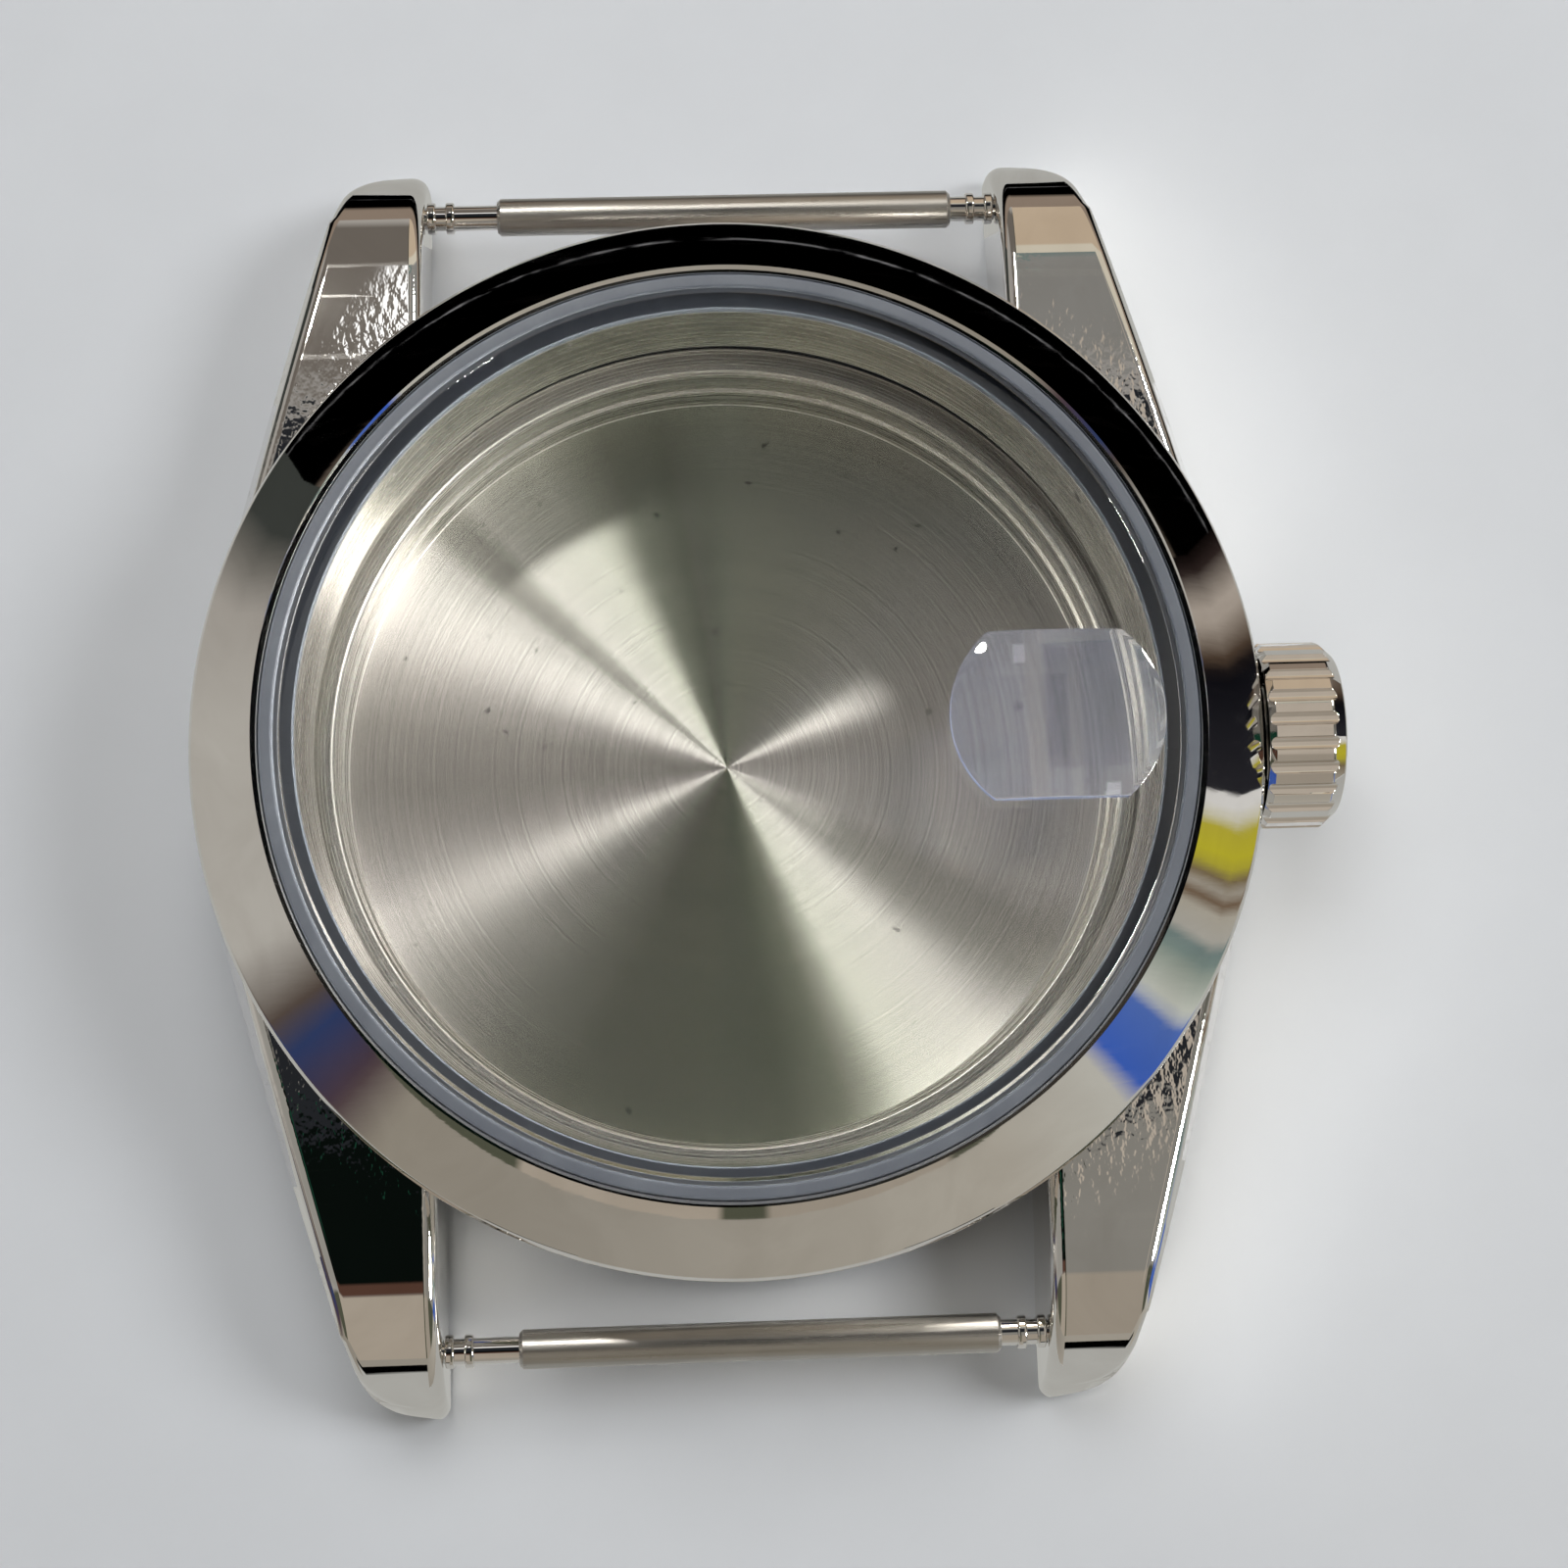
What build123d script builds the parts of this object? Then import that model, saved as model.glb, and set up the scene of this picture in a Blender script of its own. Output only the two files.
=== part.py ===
from build123d import *
from math import acos, asin, cos, sin, sqrt
import os

# Empty watch case with a screwed back, a screwed crown and two sprung bars.
# Millimetres. The origin is the middle of the back's lower face.
# +X points to the crown at three o'clock, +Y to twelve o'clock, +Z up out of the crystal.

# Clearances and cutting
running_gap = 0.05
press_gap = 0.02
crown_gap = 0.08
overrun = 1.0
picking_tolerance = 0.01

# Middle case, outside
case_half_width = 17.9
case_under_height = 1.1
shoulder_height = 6.0
shoulder_flat = 7.5
lug_droop = 0.45
lug_nose_radius = 5.3
lug_length = 4.0
lug_gap = 20.0
lug_width = 2.45
lug_tip_height = 0.3
lug_tip_round = 0.45
lug_sole = 2.7
lug_sole_slope = 3.0
flank_start = 4.35
lug_tip_setback = 0.45
lug_corner_radius = 2.0
flank_bevel_height = 4.9
flank_bevel_angle = 22

# Bezel, with its seat and the neck that it is pressed on
bezel_setback = 0.2
bezel_seat_setback = 0.2
bezel_seat_step = 0.15
bezel_width = 2.5
bezel_side_height = 1.3
bezel_shoulder_in = 0.3
bezel_shoulder_up = 0.6
bezel_lip_width = 0.22
bezel_lip_depth = 0.24
bezel_above_crystal = 0.01
bezel_crown_share = 0.035
neck_rise = 2.2

# Middle case, inside
wall_top_thickness = 1.08
wall_lean = 0.35
dial_seat_height = 5.7
lip_bevel = 0.08
chamber_wall = 1.0
gasket_recess_width = 0.75
gasket_recess_depth = 0.5

# Crystal, its gasket and the magnifier
gasket_foot_thickness = 0.3
gasket_rim_thickness = 0.45
gasket_rim_height = 1.3
crystal_thickness = 1.2
crystal_bevel = 0.25
lens_radius = 3.5
lens_height = 5.5
lens_inset = 0.71
lens_edge = 0.3
lens_bulge = 0.45
lens_corner = 0.5

# Case back
back_floor = 1.3
back_flange_width = 0.65
back_flange_height = 0.45
back_boss_inset = 3.4
back_boss_slope = 0.8
back_rim_drop = 1.3
back_rim_thickness = 0.95
back_step_drop = 1.6
back_step_in = 0.15
back_rim_bevel = 0.15
opener_notches = 6
opener_notch_width = 2.2
opener_notch_depth = 0.4
opener_notch_length = 1.9

# Crown and its tube
crown_axis_height = 5.05
crown_radius = 3.14
crown_length = 2.85
crown_flutes = 24
flute_radius = 0.24
flute_depth = 0.17
crown_rim = 0.45
crown_rim_length = 0.5
crown_dome = 0.22
crown_inner_bevel = 0.2
crown_bore_radius = 1.78
crown_bore_depth = 1.97
crown_seat_half = 3.3
crown_seat_depth = 0.2
tube_stem_radius = 0.95
tube_bore_radius = 0.62
tube_head_bore = 1.02
barrel_radius = 0.95
barrel_bore_radius = 0.7
barrel_bore_depth = 2.37
washer_thickness = 0.42
retainer_length = 0.27
post_head_length = 0.35
post_neck_radius = 0.46
post_shank_length = 1.3
stem_thread_radius = 0.34
stem_thread_depth = 1.0
crown_travel = 1.05

# Sprung bars
bar_setback = 2.3
bar_height = 3.3
bar_tube_radius = 0.65
bar_tube_bore = 0.47
bar_left_space = 2.5
bar_right_space = 1.55
bar_tube_bevel = 0.12
pin_tip_radius = 0.35
pin_tip_length = 0.95
pin_collar_radius = 0.55
pin_collar_length = 0.3
pin_groove_radius = 0.42
pin_groove_length = 0.35
pin_neck_radius = 0.43
pin_engagement = 3.0
bar_hole_play = 0.2
spring_bore = 0.28

# Radii that follow, from the outside in
bezel_radius = case_half_width - bezel_setback
bezel_seat_radius = bezel_radius - bezel_seat_setback
neck_radius = bezel_radius - bezel_width
bezel_lip_radius = neck_radius + bezel_lip_width
crystal_radius = neck_radius - gasket_rim_thickness - press_gap
wall_top_radius = neck_radius - wall_top_thickness
wall_lip_radius = wall_top_radius - wall_lean
chamber_radius = neck_radius - chamber_wall
gasket_recess_radius = chamber_radius + gasket_recess_width
back_flange_radius = gasket_recess_radius + back_flange_width
back_boss_radius = back_flange_radius - back_boss_inset
back_rim_inner = chamber_radius - running_gap - back_rim_thickness
back_step_radius = back_rim_inner - back_step_in
lens_offset = crystal_radius - lens_inset - lens_radius

# Heights that follow, from the shoulder up and down
bezel_seat_height = shoulder_height + bezel_seat_step
bezel_side_top = bezel_seat_height + bezel_side_height
neck_height = bezel_seat_height + neck_rise
crystal_seat = neck_height + gasket_foot_thickness
crystal_top = crystal_seat + crystal_thickness
bezel_top = crystal_top + bezel_above_crystal
back_rim_top = dial_seat_height - back_rim_drop
back_step_height = back_rim_top - back_step_drop

# Places along the crown's axis that follow
crown_seat = case_half_width - crown_seat_depth
crown_start = bezel_radius + crown_gap
crown_end = crown_start + crown_length
crown_bore_end = crown_start + crown_bore_depth
barrel_bore_end = crown_start + barrel_bore_depth
tube_start = chamber_radius + running_gap
tube_head_end = crown_bore_end - washer_thickness
retainer_bore_radius = post_neck_radius + running_gap

# Places on the lugs that follow
lug_reach = case_half_width + lug_length
lug_inner = lug_gap / 2
lug_tip_out = lug_inner + lug_width
lug_under_end = lug_reach - lug_sole
lug_under_start = lug_under_end - lug_sole_slope
bar_along = lug_reach - bar_setback
bar_tube_start = bar_left_space - lug_inner
bar_tube_end = lug_inner - bar_right_space


def turned(points):
    """Turn a closed outline of radius and height pairs round the vertical axis."""
    outline = make_face(Polyline(*points, close=True))
    return revolve(Plane.XZ * outline, Axis.Z)


def rod(start, end, radius, along=0, height=0):
    """A round bar parallel to X between two places on it."""
    place = Plane(origin=(start, along, height), x_dir=(0, 1, 0), z_dir=(1, 0, 0))
    return extrude(place * Circle(radius), end - start)


def pipe(start, end, radius, bore, along=0, height=0):
    """A round tube parallel to X."""
    return rod(start, end, radius, along, height) - rod(start, end, bore, along, height)


def drum(bottom, top, radius):
    """A round upright block on the case's own axis."""
    return extrude(Plane.XY.offset(bottom) * Circle(radius), top - bottom)


def save(shape, node):
    """Write one piece under its own name."""
    export_step(shape, f"parts/{node}.step")


# Middle case

def flank_curves():
    """The round side and the flank of a quarter of the case, seen from above, and the flank's end."""
    flank_out = sqrt(case_half_width ** 2 - flank_start ** 2)
    half_turn = asin(flank_start / case_half_width) / 2
    middle = (case_half_width * cos(half_turn), case_half_width * sin(half_turn))
    round_side = ThreePointArc((case_half_width, 0), middle, (flank_out, flank_start))
    tip = (lug_tip_out, lug_reach - lug_tip_setback)
    flank = TangentArc((flank_out, flank_start), tip, tangent=(-flank_start, flank_out))
    return round_side, flank, tip


def face_from_quarter(quarter):
    """A face whose outline is this quarter of it, mirrored to all four sides."""
    right = quarter + mirror(quarter, about=Plane.XZ)
    return make_face((right + mirror(right, about=Plane.YZ)).edges())


def case_outline():
    """The case seen from above, with its four lugs and no gap between them yet."""
    round_side, flank, tip = flank_curves()
    end = Polyline(tip, (lug_inner, lug_reach), (0, lug_reach))
    outline = face_from_quarter(Curve() + [round_side, flank, end])
    tips = [point for point in outline.vertices() if abs(abs(point.X) - lug_tip_out) < picking_tolerance]
    return fillet(tips, lug_corner_radius)


def flank_outline():
    """The same outline with plain square tips, for the upper part where the flanks lean in."""
    round_side, flank, tip = flank_curves()
    return face_from_quarter(Curve() + [round_side, flank, Line(tip, (0, tip[1]))])


def case_side_view():
    """The case seen from the crown: a long shoulder, a round nose and a flat underside."""
    nose_along = lug_reach - lug_nose_radius
    nose_height = shoulder_height - lug_nose_radius - lug_droop
    span = nose_along - shoulder_flat
    reach = span ** 2 + (lug_nose_radius + lug_droop) ** 2 - lug_nose_radius ** 2
    shoulder_radius = reach / (2 * lug_droop)
    tilt = asin(span / (shoulder_radius - lug_nose_radius))
    centre = shoulder_height - shoulder_radius
    half = (
        shoulder_flat + shoulder_radius * sin(tilt / 2),
        centre + shoulder_radius * cos(tilt / 2),
    )
    joint = (
        shoulder_flat + shoulder_radius * sin(tilt),
        centre + shoulder_radius * cos(tilt),
    )
    tip_drop = lug_tip_height - nose_height
    tip = (nose_along + sqrt(lug_nose_radius ** 2 - tip_drop ** 2), lug_tip_height)
    tip_angle = acos(tip_drop / lug_nose_radius)
    middle_angle = (tilt + tip_angle) / 2
    nose_middle = (
        nose_along + lug_nose_radius * sin(middle_angle),
        nose_height + lug_nose_radius * cos(middle_angle),
    )
    half_view = make_face(
        [
            Line((0, shoulder_height), (shoulder_flat, shoulder_height)),
            ThreePointArc((shoulder_flat, shoulder_height), half, joint),
            ThreePointArc(joint, nose_middle, tip),
            Line(tip, (lug_under_end, lug_tip_height)),
            Line((lug_under_end, lug_tip_height), (lug_under_start, case_under_height)),
            Line((lug_under_start, case_under_height), (0, case_under_height)),
            Line((0, case_under_height), (0, shoulder_height)),
        ]
    )
    half_view = fillet(half_view.vertices().sort_by(Axis.X)[-1], lug_tip_round)
    return half_view + mirror(half_view, about=Plane.YZ)


def case_blank():
    """The outside of the middle case, with flanks that lean in towards the top."""
    outline = case_outline()
    rise = shoulder_height - flank_bevel_height + overrun
    upright = extrude(outline, flank_bevel_height)
    leaning = extrude(Plane.XY.offset(flank_bevel_height) * flank_outline(), rise, taper=flank_bevel_angle)
    leaning = leaning & extrude(outline, flank_bevel_height + rise)
    side_view = extrude(Plane.YZ * case_side_view(), case_half_width + overrun, both=True)
    return (upright + leaning) & side_view


def case_middle():
    """The middle case: lugs, crystal neck, inner wall, movement chamber and all its holes."""
    blank = case_blank()
    gap = Box(lug_gap, 2 * (lug_reach + overrun), 2 * (shoulder_height + overrun))
    gap -= Cylinder(bezel_seat_radius, 2 * (shoulder_height + overrun))
    body = blank - gap
    body += drum(case_under_height, bezel_seat_height, bezel_seat_radius)
    body += drum(case_under_height, neck_height, neck_radius)
    wall = [
        (0, dial_seat_height - overrun),
        (wall_lip_radius + lip_bevel, dial_seat_height - overrun),
        (wall_lip_radius + lip_bevel, dial_seat_height),
        (wall_lip_radius, dial_seat_height + lip_bevel),
        (wall_top_radius, neck_height),
        (wall_top_radius, neck_height + overrun),
        (0, neck_height + overrun),
    ]
    body -= turned(wall)
    body -= drum(0, dial_seat_height, chamber_radius)
    body -= drum(0, case_under_height + gasket_recess_depth, gasket_recess_radius)
    body -= crown_seat_cut()
    for along in (bar_along, -bar_along):
        depth = lug_inner + pin_tip_length + bar_hole_play
        body -= rod(-depth, depth, pin_tip_radius + running_gap, along, bar_height)
    return body


def crown_seat_cut():
    """The flat that the crown closes on, and the hole that its tube is pressed into."""
    flat = Box(overrun, 2 * crown_seat_half, 2 * bezel_seat_height)
    flat = Pos(crown_seat + overrun / 2, 0, bezel_seat_height) * flat
    hole_start = chamber_radius - running_gap
    hole = rod(hole_start, crown_seat + overrun, tube_stem_radius + press_gap,
               height=crown_axis_height)
    return flat + hole


# Bezel, crystal and gasket

def bezel():
    """The polished ring pressed round the neck and the gasket."""
    bore = neck_radius + press_gap
    shoulder = (bezel_radius - bezel_shoulder_in, bezel_side_top + bezel_shoulder_up)
    lip = (bezel_lip_radius, bezel_top)
    run = shoulder[0] - lip[0]
    drop = lip[1] - shoulder[1]
    crest = (
        (shoulder[0] + lip[0]) / 2 + drop * bezel_crown_share,
        (shoulder[1] + lip[1]) / 2 + run * bezel_crown_share,
    )
    section = make_face(
        [
            Line((bore, bezel_seat_height), (bezel_radius, bezel_seat_height)),
            Line((bezel_radius, bezel_seat_height), (bezel_radius, bezel_side_top)),
            Line((bezel_radius, bezel_side_top), shoulder),
            ThreePointArc(shoulder, crest, lip),
            Line(lip, (bore, bezel_top - bezel_lip_depth)),
            Line((bore, bezel_top - bezel_lip_depth), (bore, bezel_seat_height)),
        ]
    )
    return revolve(Plane.XZ * section, Axis.Z)


def crystal_gasket():
    """An L-shaped ring: a foot under the crystal and a rim round it."""
    rim_inner = neck_radius - gasket_rim_thickness
    return turned([
        (wall_top_radius, neck_height),
        (neck_radius, neck_height),
        (neck_radius, neck_height + gasket_rim_height),
        (rim_inner, neck_height + gasket_rim_height),
        (rim_inner, crystal_seat),
        (wall_top_radius, crystal_seat),
    ])


def crystal():
    """A flat clear disc with a bevelled upper edge."""
    disc = drum(crystal_seat, crystal_top, crystal_radius)
    return chamfer(disc.edges().sort_by(Axis.Z)[-1], crystal_bevel)


def date_magnifier():
    """A round lens cut to two flats, with a gently domed top."""
    plan = Circle(lens_radius) & Rectangle(2 * lens_radius, lens_height)
    plan = fillet(plan.vertices(), lens_corner)
    blank = extrude(plan, lens_edge + lens_bulge)
    dome = (lens_radius ** 2 + lens_bulge ** 2) / (2 * lens_bulge)
    lens = blank & (Pos(0, 0, lens_edge + lens_bulge - dome) * Sphere(dome))
    return Pos(lens_offset, 0, crystal_top) * lens


# Case back

def case_back():
    """A screwed back: flange with opener notches, low boss outside, threaded rim inside."""
    back = turned([
        (0, 0),
        (back_boss_radius, 0),
        (back_boss_radius + back_boss_slope, back_flange_height),
        (back_flange_radius, back_flange_height),
        (back_flange_radius, case_under_height),
        (chamber_radius - running_gap, case_under_height),
        (chamber_radius - running_gap, back_rim_top),
        (back_rim_inner + back_rim_bevel, back_rim_top),
        (back_rim_inner, back_rim_top - back_rim_bevel),
        (back_rim_inner, back_step_height),
        (back_step_radius, back_step_height - back_rim_bevel),
        (back_step_radius, back_floor),
        (0, back_floor),
    ])
    length = opener_notch_length + overrun
    notch = Box(length, opener_notch_width, 2 * opener_notch_depth)
    notch_middle = back_flange_radius - opener_notch_length + length / 2
    notch = Pos(notch_middle, 0, back_flange_height) * notch
    for turn in range(opener_notches):
        back -= Rot(0, 0, 360 * turn / opener_notches) * notch
    return back


def case_back_gasket():
    """A square ring between the back's flange and the recess in the case."""
    top = case_under_height + gasket_recess_depth
    outer = gasket_recess_radius - running_gap
    return drum(case_under_height, top, outer) - drum(case_under_height, top, chamber_radius)


# Crown

def on_crown_axis(shape):
    """Lift a piece drawn on the X axis to the height of the crown's axis."""
    return Pos(0, 0, crown_axis_height) * shape


def crown_tube():
    """The pressed tube: a narrow stem in the case wall and a wide head for the crown."""
    tube = rod(tube_start, crown_seat, tube_stem_radius)
    tube += rod(crown_seat, tube_head_end, crown_bore_radius - running_gap)
    tube -= rod(tube_start, tube_head_end, tube_bore_radius)
    tube -= rod(crown_seat + running_gap, tube_head_end, tube_head_bore)
    return on_crown_axis(tube)


def crown_outside():
    """The crown's turned outside with its rim and low dome."""
    rim_radius = crown_radius - crown_rim
    rim_end = crown_end - crown_dome
    rim_start = rim_end - crown_rim_length
    dome = (rim_radius ** 2 + crown_dome ** 2) / (2 * crown_dome)
    half_angle = asin(rim_radius / dome) / 2
    dome_middle = (crown_end - dome + dome * cos(half_angle), dome * sin(half_angle))
    bevel_end = (crown_start + crown_inner_bevel, crown_radius)
    section = make_face(
        [
            Line((crown_start, 0), (crown_start, crown_radius - crown_inner_bevel)),
            Line((crown_start, crown_radius - crown_inner_bevel), bevel_end),
            Line(bevel_end, (rim_start, crown_radius)),
            Line((rim_start, crown_radius), (rim_end, rim_radius)),
            ThreePointArc((rim_end, rim_radius), dome_middle, (crown_end, 0)),
            Line((crown_end, 0), (crown_start, 0)),
        ]
    )
    return revolve(section, Axis.X)


def crown_flute_plan():
    """The crown seen from its end: a round with its flutes cut in."""
    plan = Circle(crown_radius)
    flute_out = crown_radius + flute_radius - flute_depth
    for turn in range(crown_flutes):
        plan -= Rot(0, 0, 360 * (turn + 1 / 2) / crown_flutes) * Pos(flute_out, 0) * Circle(flute_radius)
    return plan


def crown_cap():
    """The fluted crown with its threaded bore and the barrel that holds the post."""
    end_view = Plane(origin=(crown_start - overrun, 0, 0), x_dir=(0, 1, 0), z_dir=(1, 0, 0))
    fluted = extrude(end_view * crown_flute_plan(), crown_end - crown_start + 2 * overrun)
    cap = crown_outside() & fluted
    cap -= pipe(crown_start, crown_bore_end, crown_bore_radius, barrel_radius)
    cap -= rod(crown_start, barrel_bore_end, barrel_bore_radius)
    return on_crown_axis(cap)


def crown_washer():
    """The flat seal at the bottom of the crown."""
    bore = barrel_radius + running_gap
    outer = crown_bore_radius - running_gap
    return on_crown_axis(pipe(crown_bore_end - washer_thickness, crown_bore_end, outer, bore))


def crown_retainer():
    """The ring in the barrel's mouth that stops the post's head."""
    outer = barrel_bore_radius - press_gap
    end = crown_start + retainer_length
    return on_crown_axis(pipe(crown_start, end, outer, retainer_bore_radius))


def post_head_start():
    """Where the post's head begins: it keeps the crown's travel clear of the retainer."""
    return crown_start + retainer_length + crown_travel + running_gap


def crown_post():
    """The headed rod that the crown slides on, threaded for a winding stem."""
    shank_end = crown_start - running_gap
    shank_start = shank_end - post_shank_length
    head = post_head_start()
    post = rod(shank_start, shank_end, tube_bore_radius - running_gap)
    post += rod(shank_end, head, post_neck_radius)
    post += rod(head, head + post_head_length, barrel_bore_radius - running_gap)
    post -= rod(shank_start, shank_start + stem_thread_depth, stem_thread_radius)
    return on_crown_axis(post)


def crown_spring():
    """The spring between the post's head and the end of the barrel, as a sleeve."""
    start = post_head_start() + post_head_length
    outer = barrel_bore_radius - running_gap
    return on_crown_axis(pipe(start, barrel_bore_end, outer, retainer_bore_radius))


# Sprung bars

def bar_tube(along):
    """The bar's outer tube, which sits a little to the right between its pins."""
    outside = rod(bar_tube_start, bar_tube_end, bar_tube_radius, along, bar_height)
    outside = chamfer(outside.edges().filter_by(GeomType.CIRCLE), bar_tube_bevel)
    return outside - rod(bar_tube_start, bar_tube_end, bar_tube_bore, along, bar_height)


def pin_inner_end(side):
    """Where a pin ends inside the tube, on the side that the sign gives."""
    mouth = bar_tube_start if side < 0 else bar_tube_end
    return mouth - side * pin_engagement


def bar_pin(side, along):
    """One sprung pin: tip in the lug, two collars with a groove, neck in the tube."""
    face = lug_inner - running_gap
    stops = [
        (face + pin_tip_length, pin_tip_radius),
        (face, pin_collar_radius),
        (face - pin_collar_length, pin_groove_radius),
        (face - pin_collar_length - pin_groove_length, pin_collar_radius),
        (face - 2 * pin_collar_length - pin_groove_length, pin_neck_radius),
        (side * pin_inner_end(side), 0),
    ]
    pin = Part()
    for (outer, radius), (inner, _) in zip(stops, stops[1:]):
        pin += rod(side * inner, side * outer, radius, along, bar_height)
    return pin


def bar_spring(along):
    """The long spring between the two pins inside the tube, as a sleeve."""
    outer = bar_tube_bore - running_gap
    return pipe(pin_inner_end(-1), pin_inner_end(1), outer, spring_bore, along, bar_height)


def main():
    """Build every piece and write it to its own file."""
    os.makedirs("parts", exist_ok=True)
    pieces = {
        "case_middle": case_middle(),
        "bezel": bezel(),
        "crystal_gasket": crystal_gasket(),
        "crystal": crystal(),
        "date_magnifier": date_magnifier(),
        "case_back": case_back(),
        "case_back_gasket": case_back_gasket(),
        "crown_tube": crown_tube(),
        "crown_cap": crown_cap(),
        "crown_washer": crown_washer(),
        "crown_retainer": crown_retainer(),
        "crown_post": crown_post(),
        "crown_spring": crown_spring(),
    }
    for name, along in (("upper", bar_along), ("lower", -bar_along)):
        pieces[f"{name}_bar_tube"] = bar_tube(along)
        pieces[f"{name}_bar_left_pin"] = bar_pin(-1, along)
        pieces[f"{name}_bar_right_pin"] = bar_pin(1, along)
        pieces[f"{name}_bar_spring"] = bar_spring(along)
    for node, shape in pieces.items():
        save(shape, node)


main()
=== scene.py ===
"""The empty watch case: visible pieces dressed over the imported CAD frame.

Every mesh is drawn in millimetres with bmesh operators, in the CAD's own frame, and scaled to metres
when it is finished. +X points to the crown, +Y to twelve o'clock and +Z up out of the crystal.
"""

import logging
import math
from dataclasses import dataclass
from enum import Enum
from typing import Any, Callable, Optional, Sequence

import bmesh
import bpy
from mathutils import Matrix, Quaternion, Vector


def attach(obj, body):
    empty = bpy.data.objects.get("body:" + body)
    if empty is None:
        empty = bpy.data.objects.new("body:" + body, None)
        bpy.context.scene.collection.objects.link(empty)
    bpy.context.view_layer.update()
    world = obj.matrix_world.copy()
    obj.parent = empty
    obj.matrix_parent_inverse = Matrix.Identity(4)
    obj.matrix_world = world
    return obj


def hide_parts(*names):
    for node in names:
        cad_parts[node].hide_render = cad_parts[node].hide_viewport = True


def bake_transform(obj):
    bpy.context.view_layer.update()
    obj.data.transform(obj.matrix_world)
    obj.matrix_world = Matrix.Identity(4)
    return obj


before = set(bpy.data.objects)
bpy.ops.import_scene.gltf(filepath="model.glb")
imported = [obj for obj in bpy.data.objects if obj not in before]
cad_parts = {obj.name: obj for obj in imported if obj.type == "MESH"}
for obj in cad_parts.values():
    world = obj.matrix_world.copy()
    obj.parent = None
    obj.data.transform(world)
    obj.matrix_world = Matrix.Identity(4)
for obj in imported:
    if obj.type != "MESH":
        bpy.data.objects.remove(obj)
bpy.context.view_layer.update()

LOG = logging.getLogger("watch_case")
MILLIMETRE = 0.001
FULL_TURN = 2 * math.pi
QUARTER_TURN = math.pi / 2
WELD = 1e-4

# Sizes that several sub-assemblies share, in millimetres
UNDERSIDE = 1.1
BEZEL_SEAT = 6.15
NECK_TOP = 8.35
CROWN_AXIS = 5.05
CROWN_SEAT = 17.7
BAR_ALONG = 19.6
BAR_HEIGHT = 3.3
RUNNING_GAP = 0.05

# Faces round a turned piece
LARGE_STEPS = 256
SMALL_STEPS = 96
BAR_STEPS = 64

Mesh = bmesh.types.BMesh
Pair = tuple[float, float]
Triple = tuple[float, float, float]
Colour = tuple[float, float, float]


class Heading(Enum):
    """Where the axis of a turned finish's rings points."""

    UPRIGHT = "up out of the crystal"
    CROWNWARD = "along +X, towards the crown"


class Boolean(Enum):
    """The three ways in which two solids are joined."""

    UNION = "UNION"
    CUT = "DIFFERENCE"
    COMMON = "INTERSECT"


# Drawing tools


class Outline:
    """A flat outline of straight runs and arcs, drawn in the XZ plane, one vertex after another."""

    def __init__(self, across: float, up: float) -> None:
        """Start the outline at a point."""
        self.bm = bmesh.new()
        self.first = self.last = self.bm.verts.new((across, 0.0, up))
        self.corners: list[tuple[bmesh.types.BMVert, float]] = []

    def to(self, *points: tuple[float, ...]) -> "Outline":
        """Draw straight runs.

        Args:
            *points: Where each run ends: along X or as a radius, then the height, and for a corner that is
                rounded off, how far from it the rounding starts.

        Returns:
            The outline itself, so that runs can be chained.
        """
        for across, up, *rounding in points:
            vert = self.bm.verts.new((across, 0.0, up))
            self.bm.edges.new((self.last, vert))
            self.last = vert
            self.corners += [(vert, width) for width in rounding]
        return self

    def arc(self, across: float, up: float, bulge: float, steps: int) -> "Outline":
        """Draw an arc by spinning the last vertex.

        Args:
            across: Where the arc ends, along X or as a radius.
            up: The height at which it ends.
            bulge: Its height over the chord, positive to the right of the way it is drawn.
            steps: The number of edges.

        Returns:
            The outline itself.
        """
        start, end = self.last.co.copy(), Vector((across, 0.0, up))
        chord = end - start
        half = chord.length / 2
        radius = (half ** 2 + bulge ** 2) / (2 * abs(bulge))
        leftward = Vector((-chord.z, 0.0, chord.x)).normalized()
        sign = math.copysign(1.0, bulge)
        centre = (start + end) / 2 + leftward * sign * (radius - abs(bulge))
        angle = 2 * math.asin(min(1.0, half / radius))
        spun = bmesh.ops.spin(
            self.bm, geom=[self.last], cent=centre, axis=(0, -1, 0), angle=sign * angle,
            steps=steps, use_merge=False, use_duplicate=False,
        )
        self.last = spun["geom_last"][0]
        return self

    def close(self) -> "Outline":
        """Join the last point to the first."""
        self.bm.edges.new((self.last, self.first))
        return self

    def rounded(self) -> Mesh:
        """Round the corners that were asked for, and hand the outline's bmesh to the caller."""
        for vert, rounding in self.corners:
            bmesh.ops.bevel(
                self.bm, geom=[vert], offset=rounding, offset_type="OFFSET", segments=3,
                profile=0.5, affect="VERTICES", material=-1, clamp_overlap=False,
            )
        return self.bm

    def mirrored(self, angle: float, axis: str) -> Mesh:
        """Complete a half outline by its mirror image in X, and turn it by an angle round an axis."""
        bm = self.rounded()
        bmesh.ops.mirror(bm, geom=everything(bm), axis="X", merge_dist=WELD)
        bmesh.ops.remove_doubles(bm, verts=bm.verts, dist=WELD)
        return turn(bm, angle, axis)


def everything(bm: Mesh) -> list[Any]:
    """All the vertices, edges and faces of a bmesh."""
    return bm.verts[:] + bm.edges[:] + bm.faces[:]


def turn(bm: Mesh, angle: float, axis: str) -> Mesh:
    """Turn a whole bmesh round the X, Y or Z axis."""
    bmesh.ops.rotate(bm, verts=bm.verts, cent=(0, 0, 0), matrix=Matrix.Rotation(angle, 3, axis))
    return bm


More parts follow.
